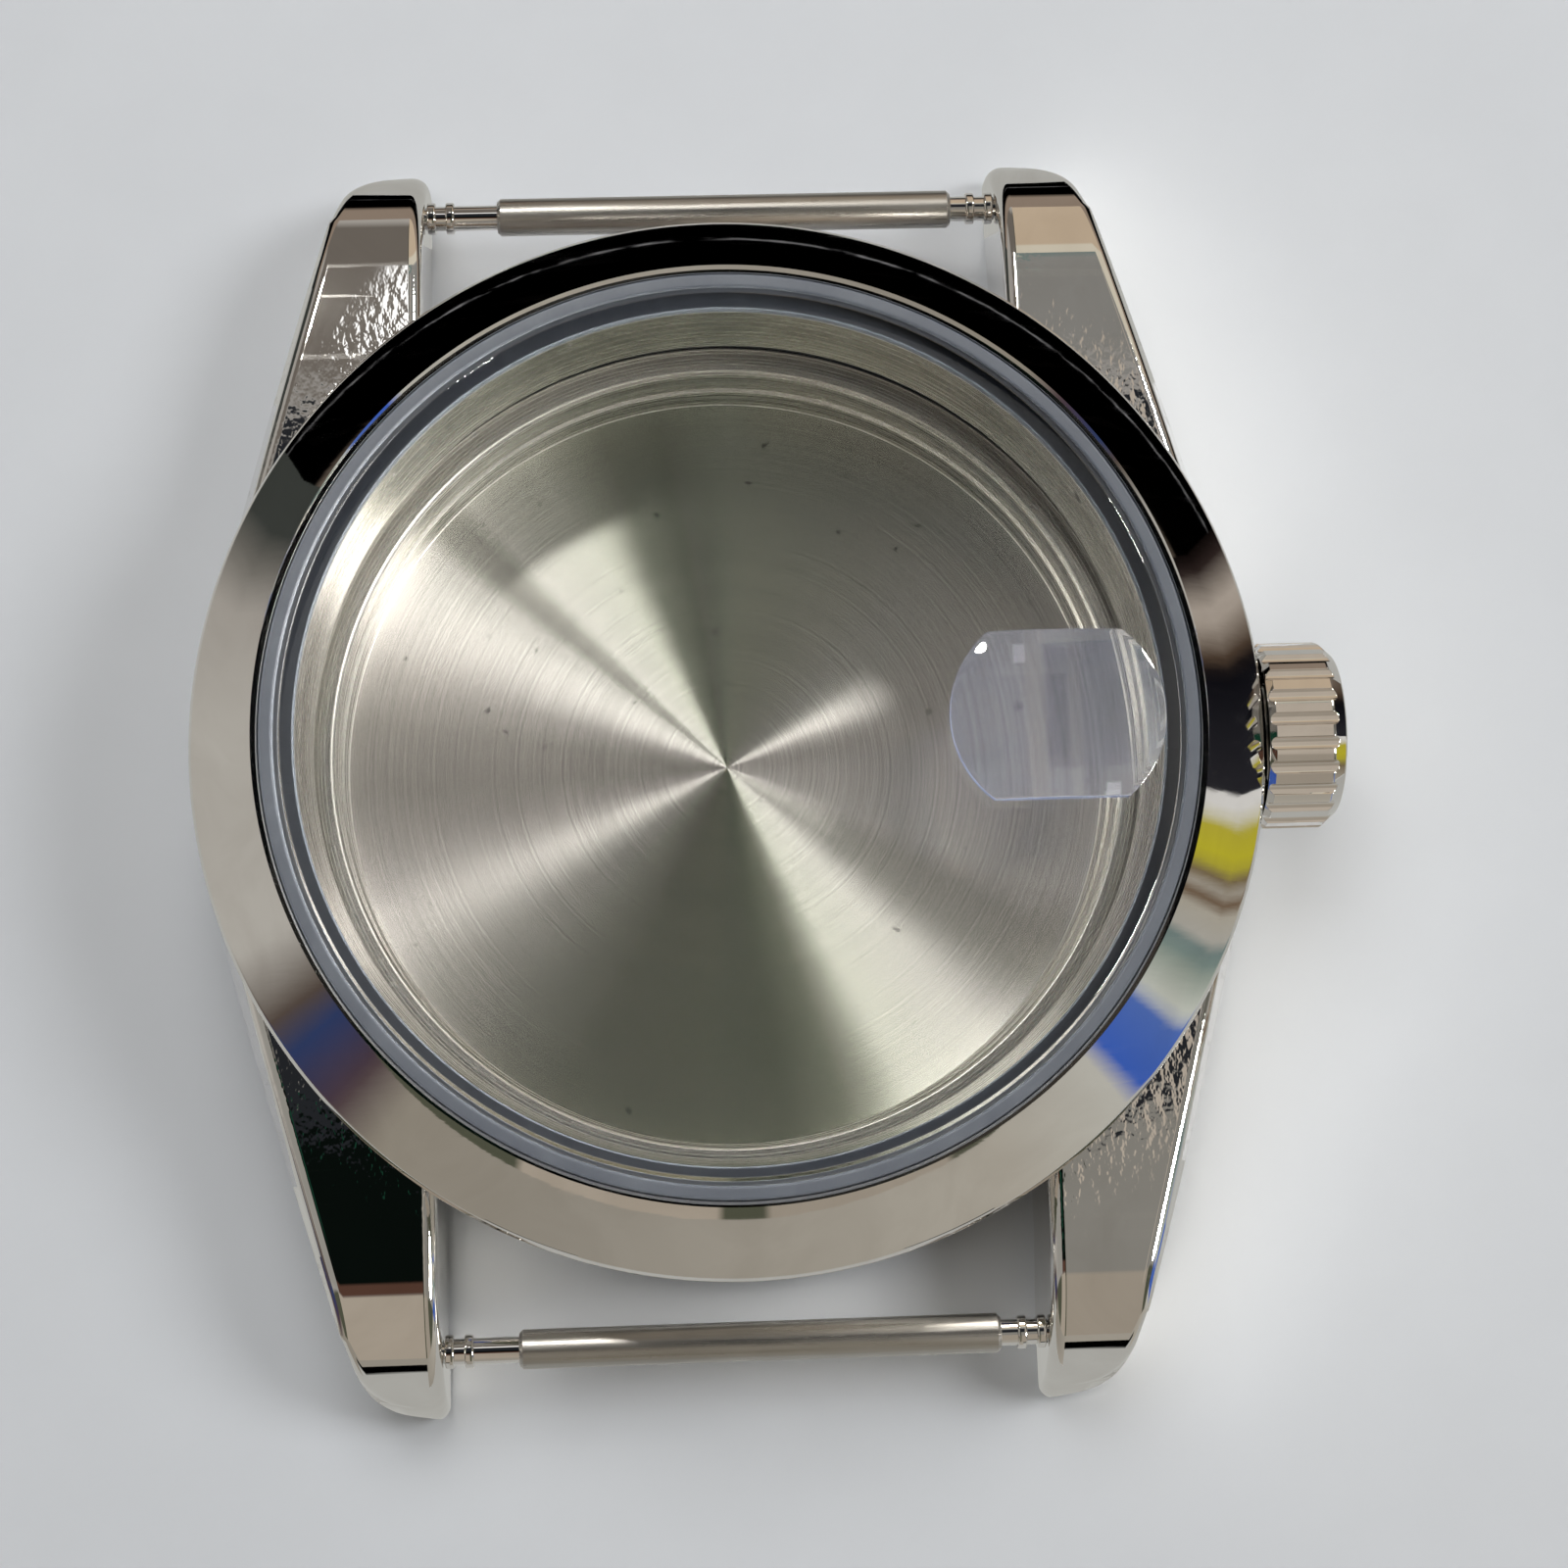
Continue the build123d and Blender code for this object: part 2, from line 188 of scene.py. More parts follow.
def move(bm: Mesh, *way: float) -> Mesh:
    """Move a whole bmesh."""
    bmesh.ops.translate(bm, verts=bm.verts, vec=way)
    return bm


def repeat(bm: Mesh, count: int, weld: float) -> None:
    """Repeat a bmesh evenly round the Z axis, and weld what coincides."""
    bmesh.ops.spin(bm, geom=everything(bm), cent=(0, 0, 0), axis=(0, 0, 1), angle=FULL_TURN,
                   steps=count, use_merge=False, use_duplicate=True)
    bmesh.ops.remove_doubles(bm, verts=bm.verts, dist=weld)


def tidy(bm: Mesh, weld: float = WELD) -> Mesh:
    """Close seams and poles, then turn every face outwards."""
    bmesh.ops.remove_doubles(bm, verts=bm.verts, dist=weld)
    bmesh.ops.dissolve_degenerate(bm, dist=weld, edges=bm.edges)
    bmesh.ops.recalc_face_normals(bm, faces=bm.faces)
    return bm


def lathe(outline: Outline, steps: int) -> Mesh:
    """Turn an outline of radius and height round the Z axis.

    Args:
        outline: The outline, closed or with both ends on the axis.
        steps: The number of faces round the axis.

    Returns:
        A closed solid.
    """
    bm = outline.rounded()
    bmesh.ops.spin(
        bm, geom=bm.verts[:] + bm.edges[:], cent=(0, 0, 0), axis=(0, 0, 1), angle=FULL_TURN,
        steps=steps, use_merge=True, use_duplicate=False,
    )
    return tidy(bm)


def prism(bm: Mesh, *depth: float) -> Mesh:
    """Fill a closed outline and pull it out into a solid along a vector."""
    bmesh.ops.contextual_create(bm, geom=bm.edges[:])
    pulled = bmesh.ops.extrude_face_region(bm, geom=bm.faces[:], use_keep_orig=True)
    moved = [item for item in pulled["geom"] if isinstance(item, bmesh.types.BMVert)]
    bmesh.ops.translate(bm, verts=moved, vec=depth)
    return tidy(bm)


def laid(bm: Mesh, *place: float) -> Mesh:
    """Lay a piece drawn round the Z axis along +X, with its own origin at a place."""
    return move(turn(bm, QUARTER_TURN, "Y"), *place)


def block(low: Triple, high: Triple) -> Mesh:
    """A cutter: a box between two corners."""
    bm = bmesh.new()
    bmesh.ops.create_cube(bm, size=1.0)
    bmesh.ops.scale(bm, verts=bm.verts, vec=Vector(high) - Vector(low))
    return move(bm, *((Vector(high) + Vector(low)) / 2))


def rod(start: float, end: float, radius: float, along: float, height: float) -> Mesh:
    """A cutter: a round bar parallel to X."""
    outline = Outline(0, start).to((radius, start), (radius, end), (0, end))
    return laid(lathe(outline, 48), 0, along, height)


def to_object(name: str, data: Any) -> bpy.types.Object:
    """Make a mesh, a lamp or a camera an object of the scene."""
    made = bpy.data.objects.new(name, data)
    bpy.context.scene.collection.objects.link(made)
    return made


def to_mesh(name: str, bm: Mesh) -> bpy.types.Mesh:
    """Make a bmesh, which is freed, a mesh."""
    mesh = bpy.data.meshes.new(name)
    bm.to_mesh(mesh)
    bm.free()
    return mesh


def combined(base: Mesh, how: Boolean, *others: Mesh) -> Mesh:
    """Join solids with Boolean modifiers on scratch objects.

    Args:
        base: The solid that is changed.
        how: What is done with the others.
        *others: The solids that are added, cut away or held in common.

    Returns:
        The new solid. The ones given are freed.
    """
    objects = [to_object("scratch", to_mesh("scratch", bm)) for bm in (base, *others)]
    for other in objects[1:]:
        modifier = objects[0].modifiers.new("join", "BOOLEAN")
        modifier.object, modifier.operation, modifier.solver = other, how.value, "MANIFOLD"
    graph = bpy.context.evaluated_depsgraph_get()
    joined = bpy.data.meshes.new_from_object(objects[0].evaluated_get(graph))
    result = bmesh.new()
    result.from_mesh(joined)
    meshes = [made.data for made in objects]
    for made in objects:
        bpy.data.objects.remove(made)
    for mesh in (*meshes, joined):
        bpy.data.meshes.remove(mesh)
    return tidy(result)


def soften(bm: Mesh, width: float, least: float, segments: int,
           chosen: Callable[[bmesh.types.BMEdge], bool]) -> None:
    """Round off a solid's sharp edges.

    Args:
        bm: The solid.
        width: How far from each edge the rounding starts.
        least: The smallest angle, in degrees, that counts as sharp.
        segments: The number of faces across each rounding.
        chosen: A test that an edge has to pass as well.
    """
    edges = [edge for edge in bm.edges
             if edge.is_manifold and edge.calc_face_angle(0.0) > math.radians(least) and chosen(edge)]
    bmesh.ops.bevel(
        bm, geom=edges, offset=width, offset_type="OFFSET", segments=segments, profile=0.5,
        affect="EDGES", material=-1, clamp_overlap=True, loop_slide=True,
    )


def loft(sections: Sequence[Sequence[Vector]]) -> Mesh:
    """Bridge closed sections, one after another, into a solid.

    Args:
        sections: The corners of each section, in the same order and number.

    Returns:
        A closed solid.
    """
    bm = bmesh.new()
    loops = []
    for section in sections:
        verts = [bm.verts.new(point) for point in section]
        loops.append([bm.edges.new(pair) for pair in zip(verts, verts[1:] + verts[:1])])
    for first, second in zip(loops, loops[1:]):
        bmesh.ops.bridge_loops(bm, edges=first + second)
    for ends in (loops[0], loops[-1]):
        bmesh.ops.contextual_create(bm, geom=ends)
    return tidy(bm)


def coil(radius: float, wire: float, start: float, end: float, turns: float, steps: int) -> Mesh:
    """A coil spring of round wire round the Z axis.

    Args:
        radius: From the axis to the middle of the wire.
        wire: The wire's own radius.
        start: The height at which the spring starts.
        end: The height at which it ends.
        turns: How often the wire goes round.
        steps: Faces along the wire for each turn.

    Returns:
        The spring, closed at both ends.
    """
    bm = bmesh.new()
    across = Matrix.Translation((radius, 0, start + wire)) @ Matrix.Rotation(QUARTER_TURN, 4, "X")
    bmesh.ops.create_circle(bm, cap_ends=True, radius=wire, segments=8, matrix=across)
    count = round(turns * steps)
    rise = (end - start - 2 * wire) / count
    bmesh.ops.spin(
        bm, geom=everything(bm), cent=(0, 0, 0), axis=(0, 0, 1), dvec=(0, 0, rise),
        angle=FULL_TURN * turns, steps=count, use_merge=False, use_duplicate=False,
    )
    return tidy(bm)


@dataclass(frozen=True)
class Placing:
    """What a finished piece is called, what it stands for and what it moves with.

    Edges sharper than a number of degrees stay sharp. A piece between two bodies has a blend: both bodies,
    and the two points between which it would go over from one to the other; such a piece is left unattached,
    and its blend is not used further. In a strict piece the largest faces at a corner settle its normal almost alone.
    """

    name: str
    nodes: tuple[str, ...]
    slot: str
    body: str
    sharp: float = 30.0
    blend: Optional[tuple[str, str, Triple, Triple]] = None
    strict: bool = False


def metres(point: Triple) -> Triple:
    """A point in millimetres, given in metres."""
    return (point[0] * MILLIMETRE, point[1] * MILLIMETRE, point[2] * MILLIMETRE)


def weigh_normals(piece: bpy.types.Object, strict: bool) -> bpy.types.Mesh:
    """Keep a piece's flat faces flat: weigh its normals by area, and leave no modifier on it.

    Args:
        piece: The object; its mesh is replaced.
        strict: Whether the largest faces at a corner settle its normal almost alone.

    Returns:
        The new mesh.
    """
    modifier = piece.modifiers.new("weigh", "WEIGHTED_NORMAL")
    modifier.mode, modifier.weight, modifier.keep_sharp = "FACE_AREA", 85 if strict else 50, True
    graph = bpy.context.evaluated_depsgraph_get()
    rough, mesh = piece.data, bpy.data.meshes.new_from_object(piece.evaluated_get(graph))
    piece.modifiers.clear()
    piece.data = mesh
    bpy.data.meshes.remove(rough)
    mesh.name = piece.name
    return mesh


def finish_piece(bm: Mesh, placing: Placing, *finishes: bpy.types.Material) -> None:
    """Make a bmesh an object of the scene, attach it to its body and hide the CAD nodes that it stands for.

    Args:
        bm: The piece in millimetres; it is freed.
        placing: Its name, nodes and body.
        *finishes: Its materials, in the order of its faces' material numbers.
    """
    mesh = to_mesh(placing.name, bm)
    mesh.shade_smooth()
    mesh.set_sharp_from_angle(angle=math.radians(placing.sharp))
    piece = to_object(placing.name, mesh)
    mesh = weigh_normals(piece, placing.strict)
    mesh.transform(Matrix.Scale(MILLIMETRE, 4))
    for finish in finishes:
        mesh.materials.append(finish)
    if placing.blend is None:
        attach(piece, placing.body)
    else:
        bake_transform(piece)
    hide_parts(*placing.nodes)
    LOG.info("%s: %d faces, stands for %s", placing.name, len(mesh.polygons), ", ".join(placing.nodes))


# Shader tools


class Sketch:
    """A node tree that is being filled, with short ways to add and join nodes."""

    def __init__(self, tree: bpy.types.NodeTree) -> None:
        """Start on an empty tree."""
        self.tree = tree
        tree.nodes.clear()

    def feed(self, node: bpy.types.Node, inputs: dict[Any, Any]) -> None:
        """Give a node's inputs, by name or number, each a value or a socket to join."""
        for key, value in inputs.items():
            if isinstance(value, bpy.types.NodeSocket):
                self.tree.links.new(value, node.inputs[key])
            else:
                node.inputs[key].default_value = value

    def add(self, kind: str, inputs: Optional[dict[Any, Any]] = None, **settings: Any) -> bpy.types.Node:
        """Add a node.

        Args:
            kind: The node's type.
            inputs: Its input sockets by name or number, each with a value or a socket to join.
            **settings: The node's own properties.

        Returns:
            The new node.
        """
        node = self.tree.nodes.new(kind)
        for name, value in settings.items():
            setattr(node, name, value)
        self.feed(node, inputs or {})
        return node

    def maths(self, operation: str, *values: Any, clamp: bool = False) -> bpy.types.NodeSocket:
        """Work out a number from numbers or sockets."""
        inputs = dict(enumerate(values))
        return self.add("ShaderNodeMath", inputs, operation=operation, use_clamp=clamp).outputs[0]

    def times(self, first: Any, second: Any) -> bpy.types.NodeSocket:
        """The product of two numbers."""
        return self.maths("MULTIPLY", first, second)

    def parts(self, vector: Any) -> Any:
        """The X, Y and Z of a vector, as sockets."""
        return self.add("ShaderNodeSeparateXYZ", {"Vector": vector}).outputs

    def radius(self, parts: Any) -> bpy.types.NodeSocket:
        """How far a point is from the Z axis."""
        return self.maths("SQRT", self.maths("ADD", *(self.times(part, part) for part in (parts[0], parts[1]))))

    def noise(self, vector: Any, scale: Any, detail: float = 2.0, distortion: float = 0.0) -> bpy.types.NodeSocket:
        """A noise value at a point."""
        inputs = {"Vector": vector, "Scale": scale, "Detail": detail, "Distortion": distortion}
        return self.add("ShaderNodeTexNoise", inputs).outputs["Fac"]

    def spread(self, value: Any, low: Any, high: float, to_low: float = 0.0,
               to_high: float = 1.0) -> bpy.types.NodeSocket:
        """Stretch a value from one range to another, held at the ends."""
        inputs = {"Value": value, "From Min": low, "From Max": high, "To Min": to_low, "To Max": to_high}
        return self.add("ShaderNodeMapRange", inputs, clamp=True).outputs["Result"]

    def tint(self, amount: Any, first: Any, second: Any) -> bpy.types.NodeSocket:
        """Blend two colours by an amount."""
        node = self.add("ShaderNodeMix", {0: amount}, data_type="RGBA")
        for key, value in ((6, first), (7, second)):
            self.feed(node, {key: value if isinstance(value, bpy.types.NodeSocket) else (*value, 1.0)})
        return node.outputs[2]

    def place(self, stretched: Triple = (1.0, 1.0, 1.0)) -> bpy.types.NodeSocket:
        """Object coordinates, stretched."""
        coordinates = self.add("ShaderNodeTexCoord").outputs["Object"]
        return self.add("ShaderNodeMapping", {"Vector": coordinates, "Scale": stretched}).outputs[0]

    def effect(self, tree: bpy.types.NodeTree, vector: Any, **inputs: float) -> Any:
        """Use a shared effect.

        Args:
            tree: The effect's node group.
            vector: The point it is worked out for.
            **inputs: Its other inputs, with _ for a space in a name.

        Returns:
            The effect's output sockets.
        """
        named = {name.replace("_", " "): value for name, value in inputs.items()}
        return self.add("ShaderNodeGroup", {"Vector": vector, **named}, node_tree=tree).outputs

    def bump(self, height: Any, strength: Any, distance: float,
             over: Optional[bpy.types.NodeSocket] = None) -> bpy.types.NodeSocket:
        """Raise a surface.

        Args:
            height: The height, from 0 to 1.
            strength: How much of it shows.
            distance: How high 1 is, in millimetres.
            over: The normal it is laid over, or None for the surface's own.

        Returns:
            The new normal.
        """
        inputs = {"Height": height, "Strength": strength, "Distance": distance * MILLIMETRE}
        if over is not None:
            inputs["Normal"] = over
        return self.add("ShaderNodeBump", inputs).outputs[0]


def group(name: str, inputs: dict[str, float], outputs: Sequence[str]) -> tuple[bpy.types.NodeTree, Sketch, Any, Any]:
    """Start a shared effect as a node group that works from a vector.

    Args:
        name: The group's name.
        inputs: Its number inputs and their values.
        outputs: Its number outputs.

    Returns:
        The group, its sketch, the sockets that are given to it, and its output node.
    """
    tree = bpy.data.node_groups.new(name, "ShaderNodeTree")
    tree.interface.new_socket("Vector", in_out="INPUT", socket_type="NodeSocketVector")
    for label, value in inputs.items():
        tree.interface.new_socket(label, in_out="INPUT", socket_type="NodeSocketFloat").default_value = value
    for label in outputs:
        tree.interface.new_socket(label, in_out="OUTPUT", socket_type="NodeSocketFloat")
    sketch = Sketch(tree)
    return tree, sketch, sketch.add("NodeGroupInput").outputs, sketch.add("NodeGroupOutput")


class Effects:
    """The surface effects that several finishes share, each made once."""

    def __init__(self) -> None:
        """Build the groups."""
        self.scratches = self.build_scratches()
        self.rings = self.build_rings()
        self.handling = self.build_handling()

    def build_scratches(self) -> bpy.types.NodeTree:
        """Fine polishing lines that run in three directions."""
        tree, sketch, given, put = group("polishing_lines", {"Density": 900.0, "Sharpness": 0.62}, ("Height", "Mask"))
        total: Any = 0.0
        for turn, stretch in ((0.3, 0.03), (1.35, 0.05), (2.4, 0.04)):
            inputs = {"Vector": given["Vector"], "Rotation": (0.0, 0.0, turn), "Scale": (stretch, 1.0, 0.35)}
            turned = sketch.add("ShaderNodeMapping", inputs).outputs[0]
            lines = sketch.noise(turned, given["Density"], 3.0)
            total = sketch.maths("ADD", total, sketch.maths("ABSOLUTE", sketch.maths("SUBTRACT", lines, 0.5)))
        mask = sketch.maths("GREATER_THAN", total, sketch.times(given["Sharpness"], 0.5))
        sketch.feed(put, {"Height": total, "Mask": mask})
        return tree

    def build_rings(self) -> bpy.types.NodeTree:
        """Tool marks of a lathe: rings round the Z axis of the vector that is given."""
        tree, sketch, given, put = group("lathe_rings", {"Rings per metre": 9000.0, "Wobble": 0.04},
                                         ("Height", "Broad", "Angle"))
        parts = sketch.parts(given["Vector"])
        reach = sketch.maths("ADD", sketch.radius(parts), sketch.times(parts[2], 0.7))
        fine = sketch.times(reach, given["Rings per metre"])
        around = sketch.noise(given["Vector"], 160.0)
        fine = sketch.maths("ADD", fine, sketch.times(around, given["Wobble"]))
        for label, value, detail in (("Height", fine, 4.0), ("Broad", sketch.times(fine, 0.09), 2.0)):
            inputs = {"W": value, "Scale": 1.0, "Detail": detail}
            lines = sketch.add("ShaderNodeTexNoise", inputs, noise_dimensions="1D")
            sketch.feed(put, {label: lines.outputs["Fac"]})
        sketch.feed(put, {"Angle": sketch.maths("ARCTAN2", parts[1], parts[0])})
        return tree

    def build_handling(self) -> bpy.types.NodeTree:
        """Faint smears from handling, and sparse dark specks."""
        tree, sketch, given, put = group("handling_marks", {"Speck size": 1500.0, "Speck share": 0.74},
                                         ("Smears", "Specks"))
        smears = sketch.noise(given["Vector"], 220.0, 4.0, 1.5)
        dots = sketch.noise(given["Vector"], given["Speck size"], 1.0)
        sketch.feed(put, {"Smears": sketch.spread(smears, 0.35, 0.7),
                          "Specks": sketch.spread(dots, given["Speck share"], 0.85)})
        return tree


def begin_material(name: str, kind: str = "ShaderNodeBsdfPrincipled"
                   ) -> tuple[bpy.types.Material, Sketch, bpy.types.Node]:
    """Start a material with one shader on its output.

    Args:
        name: The material's name.
        kind: The shader's type.

    Returns:
        The material, its sketch and its shader.
    """
    material = bpy.data.materials.new(name)
    material.use_nodes = True
    sketch = Sketch(material.node_tree)
    shader = sketch.add(kind)
    sketch.add("ShaderNodeOutputMaterial", {"Surface": shader.outputs[0]})
    return material, sketch, shader


# Finishes


@dataclass(frozen=True)
class PolishedSteel:
    """Mirror-polished steel with fine polishing lines, a trace of handling and, where asked for, small dents.

    The dents lie on the lugs' tops beside the bezel: between two radii, beyond limits along X and Y and
    above a height, each given as where they start to show and where they show in full.
    """

    name: str = "polished_steel"
    colour: Colour = (0.80, 0.785, 0.765)
    shade: Colour = (0.72, 0.70, 0.675)
    roughness: Pair = (0.025, 0.085)
    line_density: float = 1500.0
    line_depth: float = 0.05
    dents: float = 0.0
    dented: Pair = (17.7, 20.6)
    dented_limits: tuple[Pair, ...] = ((10.05, 10.3), (8.0, 11.0), (4.6, 5.0))

    def build(self, effects: Effects) -> bpy.types.Material:
        """Make the material from the shared effects."""
        material, sketch, shader = begin_material(self.name)
        place = sketch.place()
        lines = sketch.effect(effects.scratches, place, Density=self.line_density)
        marks = sketch.effect(effects.handling, place)
        wear = sketch.maths("ADD", sketch.times(lines["Mask"], 0.5), sketch.times(marks["Smears"], 0.35), clamp=True)
        normal = sketch.bump(lines["Height"], self.line_depth, 0.02)
        if self.dents:
            x, y, z = sketch.parts(place)
            low, high = (edge * MILLIMETRE for edge in self.dented)
            near = sketch.spread(sketch.radius((x, y)), low, high, self.dents, 0.0)
            for along, limits in zip((sketch.maths("ABSOLUTE", x), sketch.maths("ABSOLUTE", y), z), self.dented_limits):
                near = sketch.times(near, sketch.spread(along, *(limit * MILLIMETRE for limit in limits)))
            normal = sketch.bump(sketch.noise(sketch.place((1.0, 0.6, 1.0)), 3200.0), near, 0.03, normal)
        sketch.feed(shader, {
            "Base Color": sketch.tint(marks["Smears"], self.colour, self.shade),
            "Roughness": sketch.spread(wear, 0.0, 1.0, *self.roughness), "Normal": normal, "Metallic": 1.0,
        })
        return material


@dataclass(frozen=True)
class TurnedSteel:
    """Steel as the lathe left it, with rings round the piece's own axis."""

    name: str
    centre: Triple = (0.0, 0.0, 0.0)
    heading: Heading = Heading.UPRIGHT
    colour: Colour = (0.66, 0.645, 0.62)
    shade: Colour = (0.50, 0.485, 0.46)
    dirt: Colour = (0.03, 0.028, 0.025)
    roughness: Pair = (0.16, 0.34)
    rings: float = 9000.0
    depth: float = 0.22
    specks: float = 0.0

    def build(self, effects: Effects) -> bpy.types.Material:
        """Make the material from the shared effects."""
        material, sketch, shader = begin_material(self.name)
        coordinates = sketch.add("ShaderNodeTexCoord").outputs["Object"]
        centred = sketch.add("ShaderNodeVectorMath", {0: coordinates, 1: metres(self.centre)}, operation="SUBTRACT")
        turn = (0.0, 0.0 if self.heading is Heading.UPRIGHT else -QUARTER_TURN, 0.0)
        place = sketch.add("ShaderNodeMapping", {"Vector": centred.outputs[0], "Rotation": turn}).outputs[0]
        rings = sketch.effect(effects.rings, place, Rings_per_metre=self.rings)
        dirty = sketch.times(sketch.effect(effects.handling, place)["Specks"], self.specks)
        steel = sketch.tint(sketch.spread(rings["Broad"], 0.35, 0.65), self.colour, self.shade)
        sketch.feed(shader, {
            "Base Color": sketch.tint(dirty, steel, self.dirt),
            "Roughness": sketch.spread(rings["Height"], 0.3, 0.7, *self.roughness),
            "Metallic": sketch.maths("SUBTRACT", 1.0, dirty), "Normal": sketch.bump(rings["Height"], self.depth, 0.02),
        })
        return material


@dataclass(frozen=True)
class SunburstSteel:
    """The back's inner floor: fine rings that spread each light into a radial fan.

    Each sector of painted shade, where the floor's reflections look darker, is given by the way it faces and half its
    width, in degrees, and its depth.
    """

    name: str = "sunburst_steel"
    colour: Colour = (0.75, 0.73, 0.70)
    green: Colour = (0.61, 0.64, 0.54)
    rose: Colour = (0.79, 0.72, 0.73)
    groove: Colour = (0.36, 0.35, 0.33)
    # The colour of the painted shade in the darker sectors
    painted_shade_colour: Colour = (0.10, 0.11, 0.07)
    speck: Colour = (0.05, 0.045, 0.04)
    roughness: Pair = (0.235, 0.25)
    rings: float = 11000.0
    # Sectors of painted shade: the way each faces, half its width in degrees, and its depth
    painted_shade_sectors: tuple[Triple, ...] = (
        (-105.0, 42.0, 0.5), (177.0, 18.0, 0.34), (-33.0, 11.0, 0.25), (-78.0, 15.0, 0.5), (104.0, 16.0, 0.55),
        (137.0, 5.0, 0.45),
    )

    def build(self, effects: Effects) -> bpy.types.Material:
        """Make the material from the shared effects."""
        material, sketch, shader = begin_material(self.name)
        place = sketch.place()
        rings = sketch.effect(effects.rings, place, Rings_per_metre=self.rings)
        marks = sketch.effect(effects.handling, place, Speck_share=0.73)
        swing = sketch.maths("COSINE", sketch.times(rings["Angle"], 2.0))
        steel = sketch.tint(sketch.spread(swing, -1.0, 0.1, 1.0, 0.0), self.colour, self.green)
        steel = sketch.tint(sketch.spread(swing, 0.3, 1.0, 0.0, 0.6), steel, self.rose)
        steel = sketch.tint(sketch.spread(rings["Height"], 0.35, 0.65, 0.0, 0.32), steel, self.groove)
        # Painted shade: darken the colour in sectors where the reflections are dimmer
        for facing, half, depth in self.painted_shade_sectors:
            away = sketch.maths("SUBTRACT", rings["Angle"], math.radians(facing))
            away = sketch.maths("ABSOLUTE", sketch.maths("WRAP", away, math.pi, -math.pi))
            amount = sketch.spread(away, math.radians(half * 0.3), math.radians(half), depth, 0.0)
            steel = sketch.tint(amount, steel, self.painted_shade_colour)
        sketch.feed(shader, {
            "Base Color": sketch.tint(marks["Specks"], steel, self.speck),
            "Roughness": sketch.spread(rings["Broad"], 0.3, 0.7, *self.roughness),
            "Normal": sketch.bump(rings["Height"], 0.05, 0.01),
            "Tangent": sketch.add("ShaderNodeTangent", direction_type="RADIAL", axis="Z").outputs[0],
            "Metallic": 1.0, "Anisotropic": 1.0, "Anisotropic Rotation": 0.25,
        })
        return material


@dataclass(frozen=True)
class SatinSteel:
    """Drawn steel with fine lines along the bar."""

    name: str = "satin_steel"
    colour: Colour = (0.50, 0.485, 0.46)
    shade: Colour = (0.36, 0.345, 0.33)
    roughness: Pair = (0.22, 0.38)

    def build(self, effects: Effects) -> bpy.types.Material:
        """Make the material from the shared effects."""
        material, sketch, shader = begin_material(self.name)
        grain = sketch.noise(sketch.place((0.03, 1.0, 1.0)), 5200.0, 3.0)
        smears = sketch.times(sketch.effect(effects.handling, sketch.place())["Smears"], 0.3)
        tone = sketch.maths("ADD", sketch.spread(grain, 0.35, 0.65, 0.0, 0.7), smears, clamp=True)
        sketch.feed(shader, {
            "Base Color": sketch.tint(tone, self.colour, self.shade), "Normal": sketch.bump(grain, 0.15, 0.01),
            "Roughness": sketch.spread(grain, 0.3, 0.7, *self.roughness), "Metallic": 1.0,
        })
        return material


@dataclass(frozen=True)
class SealMaterial:
    """A moulded seal, matt, with faint mould texture and dust."""

    name: str
    colour: Colour
    dust: Colour
    roughness: Pair = (0.42, 0.6)

    def build(self, effects: Effects) -> bpy.types.Material:
        """Make the material from the shared effects."""
        material, sketch, shader = begin_material(self.name)
        place = sketch.place()
        dusty = sketch.times(sketch.effect(effects.handling, place)["Smears"], 0.5)
        grain = sketch.noise(place, 9000.0)
        sketch.feed(shader, {
            "Base Color": sketch.tint(dusty, self.colour, self.dust), "Normal": sketch.bump(grain, 0.1, 0.01),
            "Roughness": sketch.spread(grain, 0.3, 0.7, *self.roughness),
        })
        return material


@dataclass(frozen=True)
class Sapphire:
    """Clear crystal, with a barely visible trace of handling in its colour, that lets light through its shadow."""

    name: str = "sapphire"
    colour: Colour = (0.985, 0.995, 0.99)
    smeared: Colour = (0.97, 0.985, 0.985)
    shadow: Colour = (0.93, 0.93, 0.93)
    refraction: float = 1.77
    haze: float = 0.0
    haze_colour: Colour = (0.45, 0.55, 0.9)

    def build(self, effects: Effects) -> bpy.types.Material:
        """Make the material from the shared effects."""
        material, sketch, shader = begin_material(self.name)
        smears = sketch.effect(effects.handling, sketch.place())["Smears"]
        sketch.feed(shader, {
            "Base Color": sketch.tint(smears, self.colour, self.smeared), "Roughness": 0.0, "IOR": self.refraction,
            "Transmission Weight": 1.0, "Sheen Weight": self.haze, "Sheen Roughness": 0.7,
            "Sheen Tint": (*self.haze_colour, 1.0),
        })
        clear = sketch.add("ShaderNodeBsdfTransparent", {"Color": (*self.shadow, 1.0)})
        shadow = sketch.add("ShaderNodeLightPath").outputs["Is Shadow Ray"]
        mixed = sketch.add("ShaderNodeMixShader", {0: shadow, 1: shader.outputs[0], 2: clear.outputs[0]})
        output = next(node for node in sketch.tree.nodes if node.type == "OUTPUT_MATERIAL")
        sketch.feed(output, {"Surface": mixed.outputs[0]})
        return material


